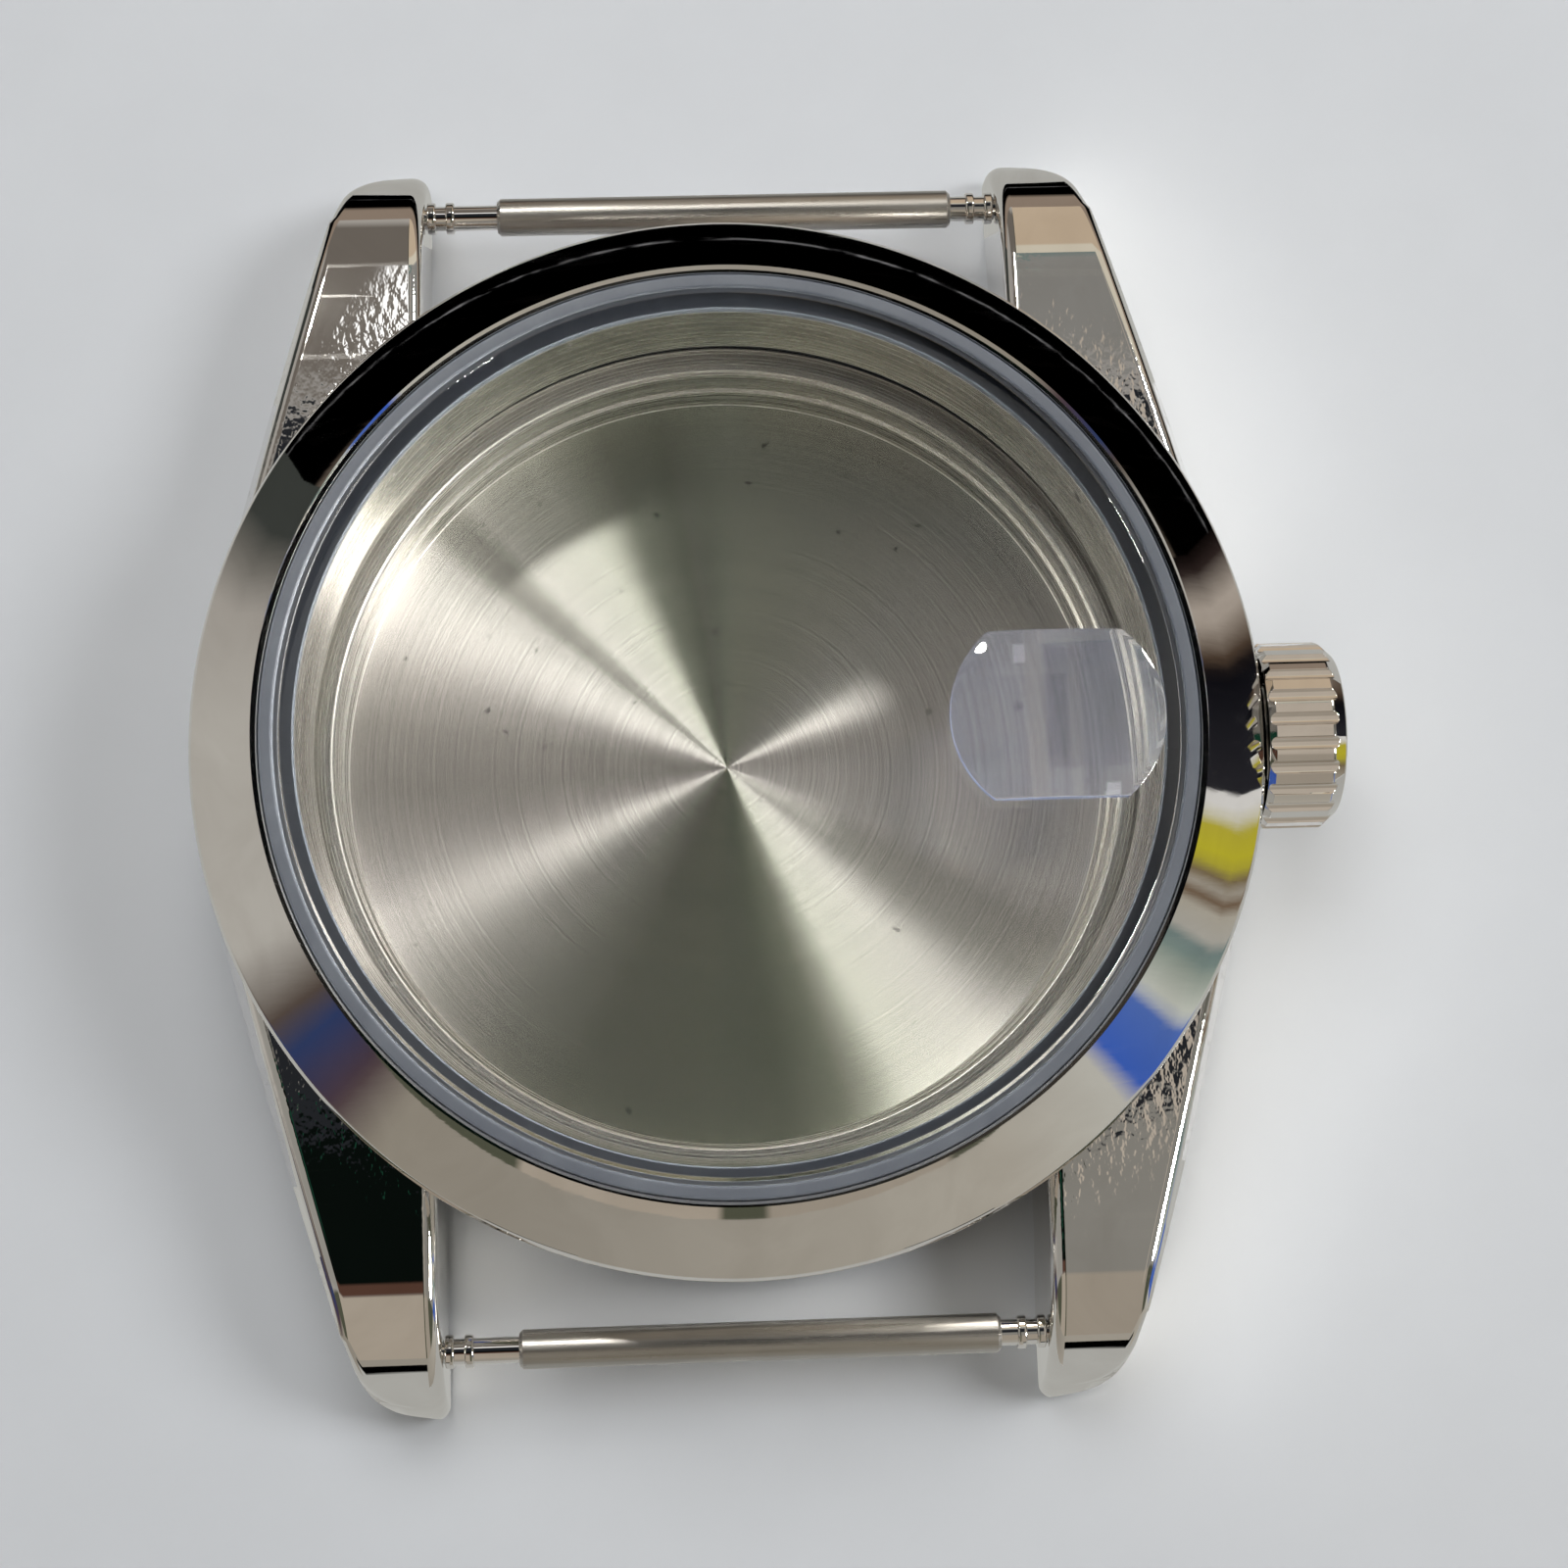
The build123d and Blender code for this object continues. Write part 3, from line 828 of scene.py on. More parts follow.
class Finishes:
    """Every material of the case, built once."""

    def __init__(self) -> None:
        """Build the materials from one set of effects."""
        effects = Effects()
        axis = (0.0, 0.0, CROWN_AXIS)
        self.polished = PolishedSteel().build(effects)
        self.worn = PolishedSteel("worn_steel", line_depth=0.015, dents=0.55).build(effects)
        self.turned = TurnedSteel("turned_steel", specks=1.0).build(effects)
        self.sunburst = SunburstSteel().build(effects)
        self.outer_back = TurnedSteel("turned_back", colour=(0.72, 0.705, 0.68), roughness=(0.1, 0.24)).build(effects)
        self.crown_turned = TurnedSteel("crown_turned_steel", centre=axis, heading=Heading.CROWNWARD).build(effects)
        self.satin = SatinSteel().build(effects)
        self.spring = SatinSteel("spring_steel", colour=(0.56, 0.55, 0.54), shade=(0.42, 0.41, 0.4)).build(effects)
        self.crystal_seal = SealMaterial("crystal_seal", (0.085, 0.10, 0.13), (0.14, 0.16, 0.19)).build(effects)
        self.black_seal = SealMaterial("black_seal", (0.022, 0.022, 0.024), (0.07, 0.07, 0.07)).build(effects)
        self.sapphire = Sapphire().build(effects)
        self.magnifier = Sapphire("magnifier_sapphire", haze=0.3).build(effects)


# Middle case


@dataclass
class MiddleCase:
    """The middle case with its lugs: a blank cut from a plan and a side view, bored and bevelled."""

    finishes: Finishes
    half_width: float = 17.9
    shoulder: float = 6.0
    shoulder_flat: float = 7.5
    droop: float = 0.45
    nose: float = 5.3
    reach: float = 21.9
    gap_half: float = 10.0
    tip_out: float = 12.45
    tip_setback: float = 0.45
    tip_height: float = 0.3
    tip_round: float = 0.45
    corner: float = 2.0
    sole: float = 2.7
    sole_slope: float = 3.0
    flank_start: float = 4.35
    lean_height: float = 4.9
    lean_angle: float = 22.0
    lean_over: float = 0.6
    seat_radius: float = 17.5
    neck_radius: float = 15.2
    wall_top: float = 14.12
    wall_lip: float = 13.77
    lip_chamfer: float = 0.08
    dial_seat: float = 5.7
    chamber: float = 14.2
    recess_radius: float = 14.95
    recess_depth: float = 0.5
    plug_gap: float = 0.4
    overlap: float = 0.05
    crown_seat_half: float = 3.3
    tube_hole: float = 0.97
    bar_hole: float = 0.4
    bar_hole_end: float = 11.15
    edge: float = 0.1
    flat_angle: float = 0.05
    soft_outer: float = 0.34
    soft_inner: float = 0.5
    soft_least: float = 12.0
    shoulder_steps: int = 42
    nose_steps: int = 56
    steps_past_nose: int = 8

    def flank_out(self) -> float:
        """How far out the flank's arc starts, seen from above."""
        return math.sqrt(self.half_width ** 2 - self.flank_start ** 2)

    def flank_arc(self) -> tuple[Vector, Vector, float]:
        """The flank's arc seen from above: where it starts, the lug's tip, and its radius."""
        start, tip = Vector((self.flank_out(), self.flank_start)), Vector((self.tip_out, self.reach - self.tip_setback))
        run = tip - start
        return start, tip, -run.length_squared / (2 * run.dot(start.normalized()))

    def shoulder_arc(self) -> Pair:
        """The large arc along a lug's top: its radius, and how far it turns down before the nose starts."""
        span, drop = self.reach - self.nose - self.shoulder_flat, self.nose + self.droop
        large = (span ** 2 + drop ** 2 - self.nose ** 2) / (2 * self.droop)
        return large, math.asin(span / (large - self.nose))

    def on_shoulder(self, turned: float) -> Pair:
        """Y and Z on the large arc, where it has turned down from level by an angle."""
        large, _ = self.shoulder_arc()
        return self.shoulder_flat + large * math.sin(turned), self.shoulder - large * (1 - math.cos(turned))

    def plan(self) -> Mesh:
        """The case seen from above, without the gap between the lugs."""
        start, tip, radius = self.flank_arc()
        heading = math.atan2(start.x, -start.y) + 2 * math.asin((tip - start).length / 2 / radius)
        flank_way = Vector((math.cos(heading), math.sin(heading)))
        tip_way = (Vector((self.gap_half, self.reach)) - tip).normalized()
        half_turn = flank_way.angle(tip_way) / 2
        inset = self.corner * math.tan(half_turn)
        before, after = tip - flank_way * inset, tip + tip_way * inset
        corner_bulge = self.corner * (1 - math.cos(half_turn))
        flank_bulge = (before - start).length_squared / (8 * radius)
        outline = Outline(0, -self.reach).to((self.gap_half, -self.reach), (after.x, -after.y))
        outline.arc(before.x, -before.y, corner_bulge, 14).arc(start.x, -start.y, flank_bulge, 28)
        outline.arc(start.x, start.y, self.half_width - self.flank_out(), 24).arc(before.x, before.y, flank_bulge, 28)
        outline.arc(after.x, after.y, corner_bulge, 14).to((self.gap_half, self.reach), (0, self.reach))
        return outline.mirrored(-QUARTER_TURN, "X")

    def side_view(self) -> Mesh:
        """The case seen from the crown: a long shoulder, a round nose and a flat underside."""
        large, tilt = self.shoulder_arc()
        nose_along = self.reach - self.nose
        nose_height = self.shoulder - self.nose - self.droop
        rise = self.tip_height + self.tip_round - nose_height
        inner = self.nose - self.tip_round
        foot_along = nose_along + math.sqrt(inner ** 2 - rise ** 2)
        share = self.nose / inner
        tip = (nose_along + (foot_along - nose_along) * share, nose_height + rise * share)
        tip_angle = math.acos((tip[1] - nose_height) / self.nose)
        sole_end = self.reach - self.sole
        outline = Outline(0, UNDERSIDE).to((sole_end - self.sole_slope, UNDERSIDE), (sole_end, self.tip_height),
                                           (foot_along, self.tip_height))
        outline.arc(*tip, self.tip_round * (1 - math.cos((math.pi - tip_angle) / 2)), 6)
        outline.arc(*self.on_shoulder(tilt), self.nose * (1 - math.cos((tip_angle - tilt) / 2)), self.nose_steps)
        outline.arc(self.shoulder_flat, self.shoulder, large * (1 - math.cos(tilt / 2)), self.shoulder_steps)
        return move(outline.to((0, self.shoulder)).mirrored(QUARTER_TURN, "Z"), -self.half_width - 1, 0, 0)

    def blank(self) -> Mesh:
        """The outside, with flanks that lean in above their bevel line."""
        body = prism(self.plan(), 0, 0, self.lean_height)
        top = max(body.faces, key=lambda face: face.calc_center_median().z)
        rise = self.shoulder + self.lean_over - self.lean_height
        lean = rise * math.tan(math.radians(self.lean_angle))
        bmesh.ops.inset_region(body, faces=[top], thickness=lean, depth=rise, use_even_offset=True, use_boundary=True)
        return combined(tidy(body), Boolean.COMMON, prism(self.side_view(), 2 * self.half_width + 2, 0, 0))

    def gap(self, side: int) -> Mesh:
        """The cutter for the gap between two lugs, on the side that the sign gives."""
        back = math.sqrt(self.seat_radius ** 2 - self.gap_half ** 2)
        outline = Outline(-self.gap_half, back).arc(self.gap_half, back, back - self.seat_radius, 96)
        outline.to((self.gap_half, self.reach + 1), (-self.gap_half, self.reach + 1)).close()
        cutter = prism(move(turn(outline.rounded(), -QUARTER_TURN, "X"), 0, 0, -1), 0, 0, self.shoulder + 2)
        return turn(cutter, math.pi, "Z") if side < 0 else cutter

    def core(self) -> Mesh:
        """The turned heart of the case: bezel seat, neck, sloping wall, dial seat, chamber and recess."""
        recess_top = UNDERSIDE + self.recess_depth
        outline = Outline(self.recess_radius, UNDERSIDE).to(
            (self.seat_radius, UNDERSIDE), (self.seat_radius, BEZEL_SEAT), (self.neck_radius, BEZEL_SEAT),
            (self.neck_radius, NECK_TOP, 0.06), (self.wall_top, NECK_TOP, 0.05),
            (self.wall_lip, self.dial_seat + self.lip_chamfer, 0.03),
            (self.wall_lip + self.lip_chamfer, self.dial_seat), (self.chamber, self.dial_seat),
            (self.chamber, recess_top, 0.05), (self.recess_radius, recess_top),
        )
        return lathe(outline.close(), LARGE_STEPS)

    def plug(self) -> Mesh:
        """The cutter that clears the blank's inside for the turned heart."""
        radius, top = self.seat_radius - self.plug_gap, self.shoulder + 1
        return lathe(Outline(0, -1).to((radius, -1), (radius, top), (0, top)), LARGE_STEPS)

    def build(self) -> None:
        """Make the whole piece."""
        body = combined(self.blank(), Boolean.CUT, self.plug(), self.gap(1), self.gap(-1), *self.soft_corners())
        body = combined(body, Boolean.UNION, self.core())
        seat = block((CROWN_SEAT, -self.crown_seat_half, -1), (CROWN_SEAT + 1, self.crown_seat_half, 8))
        hole = rod(self.chamber - self.overlap, CROWN_SEAT + 1, self.tube_hole, 0, CROWN_AXIS)
        bars = [rod(-self.bar_hole_end, self.bar_hole_end, self.bar_hole, along, BAR_HEIGHT)
                for along in (BAR_ALONG, -BAR_ALONG)]
        body = combined(body, Boolean.CUT, seat, hole, *bars)
        bmesh.ops.dissolve_limit(body, angle_limit=math.radians(self.flat_angle), use_dissolve_boundaries=False,
                                 verts=body.verts, edges=body.edges, delimit=set())
        soften(body, self.edge, 22.0, 2, self.outside)
        tidy(body, 2 * WELD)
        for face in body.faces:
            face.material_index = int(self.inside(face.calc_center_median()))
        placing = Placing("middle_case", ("case_middle",), "polished_steel", "case", 34.0, strict=True)
        finish_piece(body, placing, self.finishes.worn, self.finishes.turned)

    def flank(self, along: float) -> Pair:
        """The flank seen from above.

        Args:
            along: The distance from the case's middle along Y.

        Returns:
            How far out the flank is there, and which way it faces, in radians from +X towards +Y.
        """
        start, tip, radius = self.flank_arc()
        centre = start - start.normalized() * radius
        facing = math.asin((along - centre.y) / radius)
        limit = tip.y - self.corner * math.tan((QUARTER_TURN - math.asin((tip.y - centre.y) / radius)) / 2)
        if along < limit:
            return centre.x + radius * math.cos(facing), facing
        before = math.asin((limit - centre.y) / radius)
        pivot = Vector((centre.x, centre.y)) + Vector((math.cos(before), math.sin(before))) * (radius - self.corner)
        turned = math.asin(min(0.999, (along - pivot.y) / self.corner))
        return pivot.x + self.corner * math.cos(turned), max(turned, before)

    def crest(self) -> list[Triple]:
        """Places down the top of a lug: Y, Z and how far the surface there has turned from level."""
        _, tilt = self.shoulder_arc()
        middle, low = self.reach - self.nose, self.shoulder - self.nose - self.droop
        places = [(self.flank_start + 0.4, self.shoulder, 0.0)]
        for step in range(self.shoulder_steps + 1):
            turned = tilt * step / self.shoulder_steps
            places.append((*self.on_shoulder(turned), turned))
        end = math.acos((self.tip_height + self.tip_round - low) / (self.nose - self.tip_round))
        for step in range(1, self.nose_steps + self.steps_past_nose + 1):
            turned = tilt + (end - tilt) * step / self.nose_steps
            places.append((middle + self.nose * math.sin(turned), low + self.nose * math.cos(turned), turned))
        return places

    def corner_section(self, width: float, angle: float) -> list[Pair]:
        """What is cut away across a rounded edge.

        Args:
            width: How far from the edge the rounding starts.
            angle: How far the surface turns there, in radians.

        Returns:
            The corners of the section: sideways from the edge, and out of the lug's top.
        """
        margin, tail, aside, top, parts = 0.4, 0.7, 0.6, 0.9, 6
        radius = width / math.tan(angle / 2)
        points = [(-width - margin, margin * math.sin(angle / (2 * parts)))]
        points += [(radius * math.sin(angle * part / parts) - width, -radius * (1 - math.cos(angle * part / parts)))
                   for part in range(parts + 1)]
        last = angle * (2 * parts - 1) / (2 * parts)
        end = (points[-1][0] + tail * math.cos(last), points[-1][1] - tail * math.sin(last))
        return points + [end, (end[0] + aside, end[1]), (end[0] + aside, top), (-width - margin, top)]

    def soft_corner(self, outer: bool) -> Mesh:
        """The cutter that rounds one edge of a lug's top.

        Args:
            outer: Whether it is the edge on the flank, or else the one on the gap.

        Returns:
            The cutter, for the lug at +X and +Y.
        """
        sections = []
        width, sign = (self.soft_outer, 1) if outer else (self.soft_inner, -1)
        for along, height, turned in self.crest():
            place, angle = self.gap_half, QUARTER_TURN
            if outer:
                place, facing = self.flank(along)
                above = max(0.0, height - self.lean_height)
                lean = math.radians(self.lean_angle) if above else 0.0
                place -= above * math.tan(lean)
                rise = math.sin(facing) * math.cos(lean) * math.sin(turned) + math.sin(lean) * math.cos(turned)
                angle = math.atan2(math.cos(facing) * math.cos(lean), rise)
            section = self.corner_section(width, max(angle, math.radians(self.soft_least)))
            sections.append([
                Vector((place + sign * across, along + out * math.sin(turned), height + out * math.cos(turned)))
                for across, out in section
            ])
        return loft(sections)

    def soft_corners(self) -> list[Mesh]:
        """The cutters for both edges of all four lugs."""
        cutters = []
        for outer in (True, False):
            for way in ((1, 1, 1), (-1, 1, 1), (1, -1, 1), (-1, -1, 1)):
                cutter = self.soft_corner(outer)
                bmesh.ops.scale(cutter, verts=cutter.verts, vec=way)
                cutters.append(tidy(cutter))
        return cutters

    def outside(self, edge: bmesh.types.BMEdge) -> bool:
        """Whether an edge is on the polished outside."""
        middle = (edge.verts[0].co + edge.verts[1].co) / 2
        return middle.xy.length > self.seat_radius - 0.02 or middle.z < UNDERSIDE + 0.01

    def inside(self, point: Vector) -> bool:
        """Whether a point is on the turned inside."""
        return point.xy.length < self.neck_radius + 0.1 and point.z > UNDERSIDE + 0.01


# Bezel


@dataclass
class BezelRing:
    """The plain polished bezel, pressed round the neck."""

    finishes: Finishes
    bore: float = 15.22
    radius: float = 17.7
    side_top: float = 7.62
    shoulder: Pair = (17.6, 7.87)
    lip: Pair = (15.42, 9.86)
    bore_top: float = 9.62
    bulge: float = 0.05
    facets: int = 288

    def build(self) -> None:
        """Make the ring."""
        outline = Outline(self.bore, BEZEL_SEAT)
        outline.to((self.radius, BEZEL_SEAT, 0.06), (self.radius, self.side_top, 0.05), (*self.shoulder, 0.07))
        outline.arc(*self.lip, self.bulge, 24).to((self.bore, self.bore_top, 0.03)).close()
        placing = Placing("bezel_ring", ("bezel",), "polished_steel", "case", 24.0)
        finish_piece(lathe(outline, self.facets), placing, self.finishes.polished)


# Crystal


@dataclass
class CrystalSet:
    """The crystal, the seal that holds it and the magnifier on it."""

    finishes: Finishes
    radius: float = 14.73
    seat: float = 8.65
    top: float = 9.85
    bevel: float = 0.25
    seal_outer: float = 15.2
    seal_inner: float = 14.12
    seal_rim: float = 14.75
    rim_height: float = 1.3
    lens_radius: float = 3.5
    lens_half: float = 2.75
    lens_offset: float = 10.52
    lens_edge: float = 0.3
    lens_bulge: float = 0.45
    lens_corner: float = 0.35
    lens_soft: float = 0.05
    cement: float = 0.012

    def disc(self) -> None:
        """The flat crystal with its bevelled edge."""
        outline = Outline(0, self.seat).to(
            (self.radius, self.seat, 0.05), (self.radius, self.top - self.bevel, 0.03),
            (self.radius - self.bevel, self.top, 0.03), (0, self.top),
        )
        placing = Placing("crystal_disc", ("crystal",), "sapphire", "case", 20.0)
        finish_piece(lathe(outline, LARGE_STEPS), placing, self.finishes.sapphire)

    def seal(self) -> None:
        """The slate-blue ring: a foot under the crystal and a rim round it."""
        rim_top = NECK_TOP + self.rim_height
        outline = Outline(self.seal_inner, NECK_TOP).to(
            (self.seal_outer, NECK_TOP), (self.seal_outer, rim_top, 0.09), (self.seal_rim, rim_top, 0.09),
            (self.seal_rim, self.seat), (self.seal_inner, self.seat, 0.06),
        )
        placing = Placing("crystal_seal_ring", ("crystal_gasket",), "crystal_gasket", "case", 40.0)
        finish_piece(lathe(outline.close(), LARGE_STEPS), placing, self.finishes.crystal_seal)

    def magnifier(self) -> None:
        """The small domed lens with two straight sides."""
        outline = Outline(0, self.cement).to((self.lens_radius, self.cement), (self.lens_radius, self.lens_edge))
        lens = lathe(outline.arc(0, self.lens_edge + self.lens_bulge, self.lens_bulge / 4, 20), 128)
        for side in (1, -1):
            cut = bmesh.ops.bisect_plane(
                lens, geom=everything(lens), dist=WELD, plane_co=(0, side * self.lens_half, 0),
                plane_no=(0, side, 0), clear_outer=True,
            )
            rim = [edge for edge in cut["geom_cut"] if isinstance(edge, bmesh.types.BMEdge)]
            bmesh.ops.contextual_create(lens, geom=rim)
        tidy(lens)
        soften(lens, self.lens_corner, 40.0, 4, self.upright)
        soften(lens, self.lens_soft, 40.0, 2, lambda edge: not self.upright(edge) and edge.verts[0].co.z > 0.1)
        move(lens, self.lens_offset, 0, self.top)
        placing = Placing("magnifier_lens", ("date_magnifier",), "sapphire", "case", 24.0)
        finish_piece(tidy(lens), placing, self.finishes.magnifier)

    def upright(self, edge: bmesh.types.BMEdge) -> bool:
        """Whether an edge of the lens stands upright at one of its four corners."""
        first, second = edge.verts[0].co, edge.verts[1].co
        return abs(first.z - second.z) > 0.2 and (first - second).xy.length < 0.01


# Case back


@dataclass
class ScrewedBack:
    """The screwed back with its opener notches, threaded rim and turned inner floor, and its seal."""

    finishes: Finishes
    floor: float = 1.3
    boss: float = 12.2
    boss_slope: float = 0.8
    flange: float = 15.6
    flange_height: float = 0.45
    thread: float = 14.15
    thread_depth: float = 0.22
    pitch: float = 0.5
    thread_start: float = 1.8
    rim_top: float = 4.4
    rim_inner: float = 13.2
    chamfer: float = 0.15
    step_height: float = 2.8
    step_radius: float = 13.05
    notches: int = 6
    notch_width: float = 2.2
    notch_depth: float = 0.4
    notch_length: float = 1.9
    notch_corner: float = 0.35
    seal_inner: float = 14.2
    seal_outer: float = 14.9
    seal_top: float = 1.6

    def profile(self) -> Outline:
        """Half the back's section, with the thread's grooves."""
        outline = Outline(0, 0).to(
            (self.boss, 0, 0.12), (self.boss + self.boss_slope, self.flange_height, 0.1),
            (self.flange, self.flange_height, 0.12), (self.flange, UNDERSIDE, 0.08), (self.thread, UNDERSIDE),
        )
        up, root = self.thread_start, self.thread - self.thread_depth
        while up + self.pitch < self.rim_top - 0.1:
            outline.to((self.thread, up, 0.03), (root, up + 0.2), (root, up + 0.26), (self.thread, up + 0.46, 0.03))
            up += self.pitch
        return outline.to(
            (self.thread, self.rim_top, 0.12), (self.rim_inner + self.chamfer, self.rim_top, 0.05),
            (self.rim_inner, self.rim_top - self.chamfer, 0.05), (self.rim_inner, self.step_height, 0.04),
            (self.step_radius, self.step_height - self.chamfer, 0.05), (self.step_radius, self.floor, 0.08),
            (0.16, self.floor, 0.04), (0, self.floor - 0.05),
        )

    def build(self) -> None:
        """Make the back."""
        low = (self.flange - self.notch_length, -self.notch_width / 2, self.flange_height - self.notch_depth)
        high = (self.flange + 1, self.notch_width / 2, self.flange_height + self.notch_depth)
        notch = block(low, high)
        sides = [edge for edge in notch.edges if abs(edge.verts[0].co.z - edge.verts[1].co.z) > 0.1
                 and edge.verts[0].co.x < self.flange]
        bmesh.ops.bevel(notch, geom=sides, offset=self.notch_corner, offset_type="OFFSET", segments=4, profile=0.5,
                        affect="EDGES", material=-1)
        repeat(notch, self.notches, 0.01)
        body = combined(lathe(self.profile(), LARGE_STEPS), Boolean.CUT, notch)
        for face in body.faces:
            middle = face.calc_center_median()
            if middle.z > self.floor - 0.06 and middle.xy.length < self.step_radius - 0.06:
                face.material_index = 0
            else:
                face.material_index = 1 if middle.z > UNDERSIDE - 0.01 else 2
        placing = Placing("screwed_back", ("case_back",), "turned_steel", "back", 28.0)
        finish_piece(body, placing, self.finishes.sunburst, self.finishes.turned, self.finishes.outer_back)

    def seal(self) -> None:
        """Make the seal under the back's flange."""
        corners = ((self.seal_outer, UNDERSIDE), (self.seal_outer, self.seal_top), (self.seal_inner, self.seal_top),
                   (self.seal_inner, UNDERSIDE))
        outline = Outline(self.seal_inner, UNDERSIDE).to(*((*corner, 0.1) for corner in corners))
        bmesh.ops.remove_doubles(outline.bm, verts=[outline.first, outline.last], dist=WELD)
        placing = Placing("back_seal_ring", ("case_back_gasket",), "black_seal", "back_seal", 40.0)
        finish_piece(lathe(outline, 192), placing, self.finishes.black_seal)


# Crown


@dataclass
class CrownSet:
    """The fluted crown, the tube that it screws onto, and the rod, spring and seals inside it."""

    finishes: Finishes
    start: float = 17.78
    length: float = 2.85
    radius: float = 3.14
    flutes: int = 24
    flute: float = 0.24
    flute_depth: float = 0.17
    rim: float = 0.45
    rim_length: float = 0.5
    dome: float = 0.22
    bevel: float = 0.2
    soft: float = 0.035
    bore: float = 1.78
    bore_depth: float = 1.97
    barrel: float = 0.95
    barrel_bore: float = 0.7
    barrel_depth: float = 2.37
    tube_start: float = 14.25
    tube_end: float = 19.33
    tube_bore: float = 0.62
    tube_head: float = 1.73
    head_bore: float = 1.02
    pitch: float = 0.35
    groove: float = 0.15
    washer: float = 0.42
    retainer: float = 0.27
    retainer_bore: float = 0.51
    retainer_gap: float = 0.02
    post_neck: float = 0.46
    post_start: float = 16.43
    post_head: float = 19.15
    post_head_length: float = 0.35
    stem_thread: float = 0.34
    stem_depth: float = 1.0
    wire: float = 0.055
    turns: float = 3.5

    def lay(self, bm: Mesh, start: float) -> Mesh:
        """Lay a piece on the crown's axis."""
        return laid(bm, start, 0, CROWN_AXIS)

    def fluted(self) -> Mesh:
        """A long bar with the crown's flutes, to be held in common with the turned crown."""
        centre = self.radius + self.flute - self.flute_depth
        half = math.acos((self.radius ** 2 + centre ** 2 - self.flute ** 2) / (2 * self.radius * centre))
        sector = FULL_TURN / self.flutes
        inner, outer = (Vector((self.radius * math.cos(angle), self.radius * math.sin(angle)))
                        for angle in (half, sector - half))
        outline = Outline(inner.x, -inner.y).arc(inner.x, inner.y, centre - self.flute - inner.x, 8)
        outline.arc(outer.x, outer.y, self.radius * (1 - math.cos(sector / 2 - half)), 8)
        bm = turn(outline.rounded(), -QUARTER_TURN, "X")
        repeat(bm, self.flutes, 0.001)
        return prism(move(bm, 0, 0, -1), 0, 0, self.length + 2)

    def knob(self) -> None:
        """The crown itself."""
        rim_radius, rim_end = self.radius - self.rim, self.length - self.dome
        outline = Outline(0, self.barrel_depth).to(
            (self.barrel_bore, self.barrel_depth), (self.barrel_bore, 0, 0.04), (self.barrel, 0, 0.04),
            (self.barrel, self.bore_depth), (self.bore, self.bore_depth), (self.bore, 0, 0.08),
            (self.radius - self.bevel, 0), (self.radius, self.bevel),
            (self.radius, rim_end - self.rim_length, 0.06), (rim_radius, rim_end, 0.1),
        )
        turned = lathe(outline.arc(0, self.length, self.dome / 4, 14), 192)
        body = combined(turned, Boolean.COMMON, self.fluted())
        soften(body, self.soft, 26.0, 2, lambda edge: edge.verts[0].co.xy.length > self.bore + 0.3)
        placing = Placing("crown_knob", ("crown_cap",), "polished_steel", "crown", 32.0, strict=True)
        finish_piece(self.lay(tidy(body), self.start), placing, self.finishes.polished)

    def tube(self) -> None:
        """The pressed tube, threaded outside for the crown."""
        seat, end = CROWN_SEAT - self.tube_start, self.tube_end - self.tube_start
        outline = Outline(self.tube_bore, 0)
        outline.to((self.barrel, 0, 0.05), (self.barrel, seat), (self.tube_head, seat, 0.05))
        up = seat + 0.3
        while up + self.pitch < end - 0.05:
            outline.to((self.tube_head, up), (self.tube_head - self.groove, up + self.groove),
                       (self.tube_head, up + 2 * self.groove))
            up += self.pitch
        outline.to((self.tube_head, end, 0.06), (self.head_bore, end, 0.05), (self.head_bore, seat + 0.05),
                   (self.tube_bore, seat + 0.05))
        placing = Placing("crown_sleeve", ("crown_tube",), "turned_steel", "case", 25.0)
        turned = self.lay(lathe(outline.close(), SMALL_STEPS), self.tube_start)
        finish_piece(turned, placing, self.finishes.crown_turned)

    def ring(self, inner: float, outer: float, start: float, length: float, rounding: float) -> Mesh:
        """A small plain ring on the crown's axis."""
        outline = Outline(inner, length / 2).to((inner, 0, rounding), (outer, 0, rounding), (outer, length, rounding),
                                                (inner, length, rounding))
        return self.lay(lathe(outline.close(), SMALL_STEPS), start)

    def post(self) -> Mesh:
        """The headed rod with the stem's threaded hole."""
        shank_end, head = self.start - RUNNING_GAP - self.post_start, self.post_head - self.post_start
        shank, head_radius = self.tube_bore - RUNNING_GAP, self.barrel_bore - RUNNING_GAP
        end = head + self.post_head_length
        outline = Outline(0, self.stem_depth).to(
            (self.stem_thread, self.stem_depth), (self.stem_thread, 0, 0.05), (shank, 0, 0.05),
            (shank, shank_end, 0.04), (self.post_neck, shank_end), (self.post_neck, head),
            (head_radius, head, 0.04), (head_radius, end, 0.04), (0, end),
        )
        return self.lay(lathe(outline, SMALL_STEPS), self.post_start)

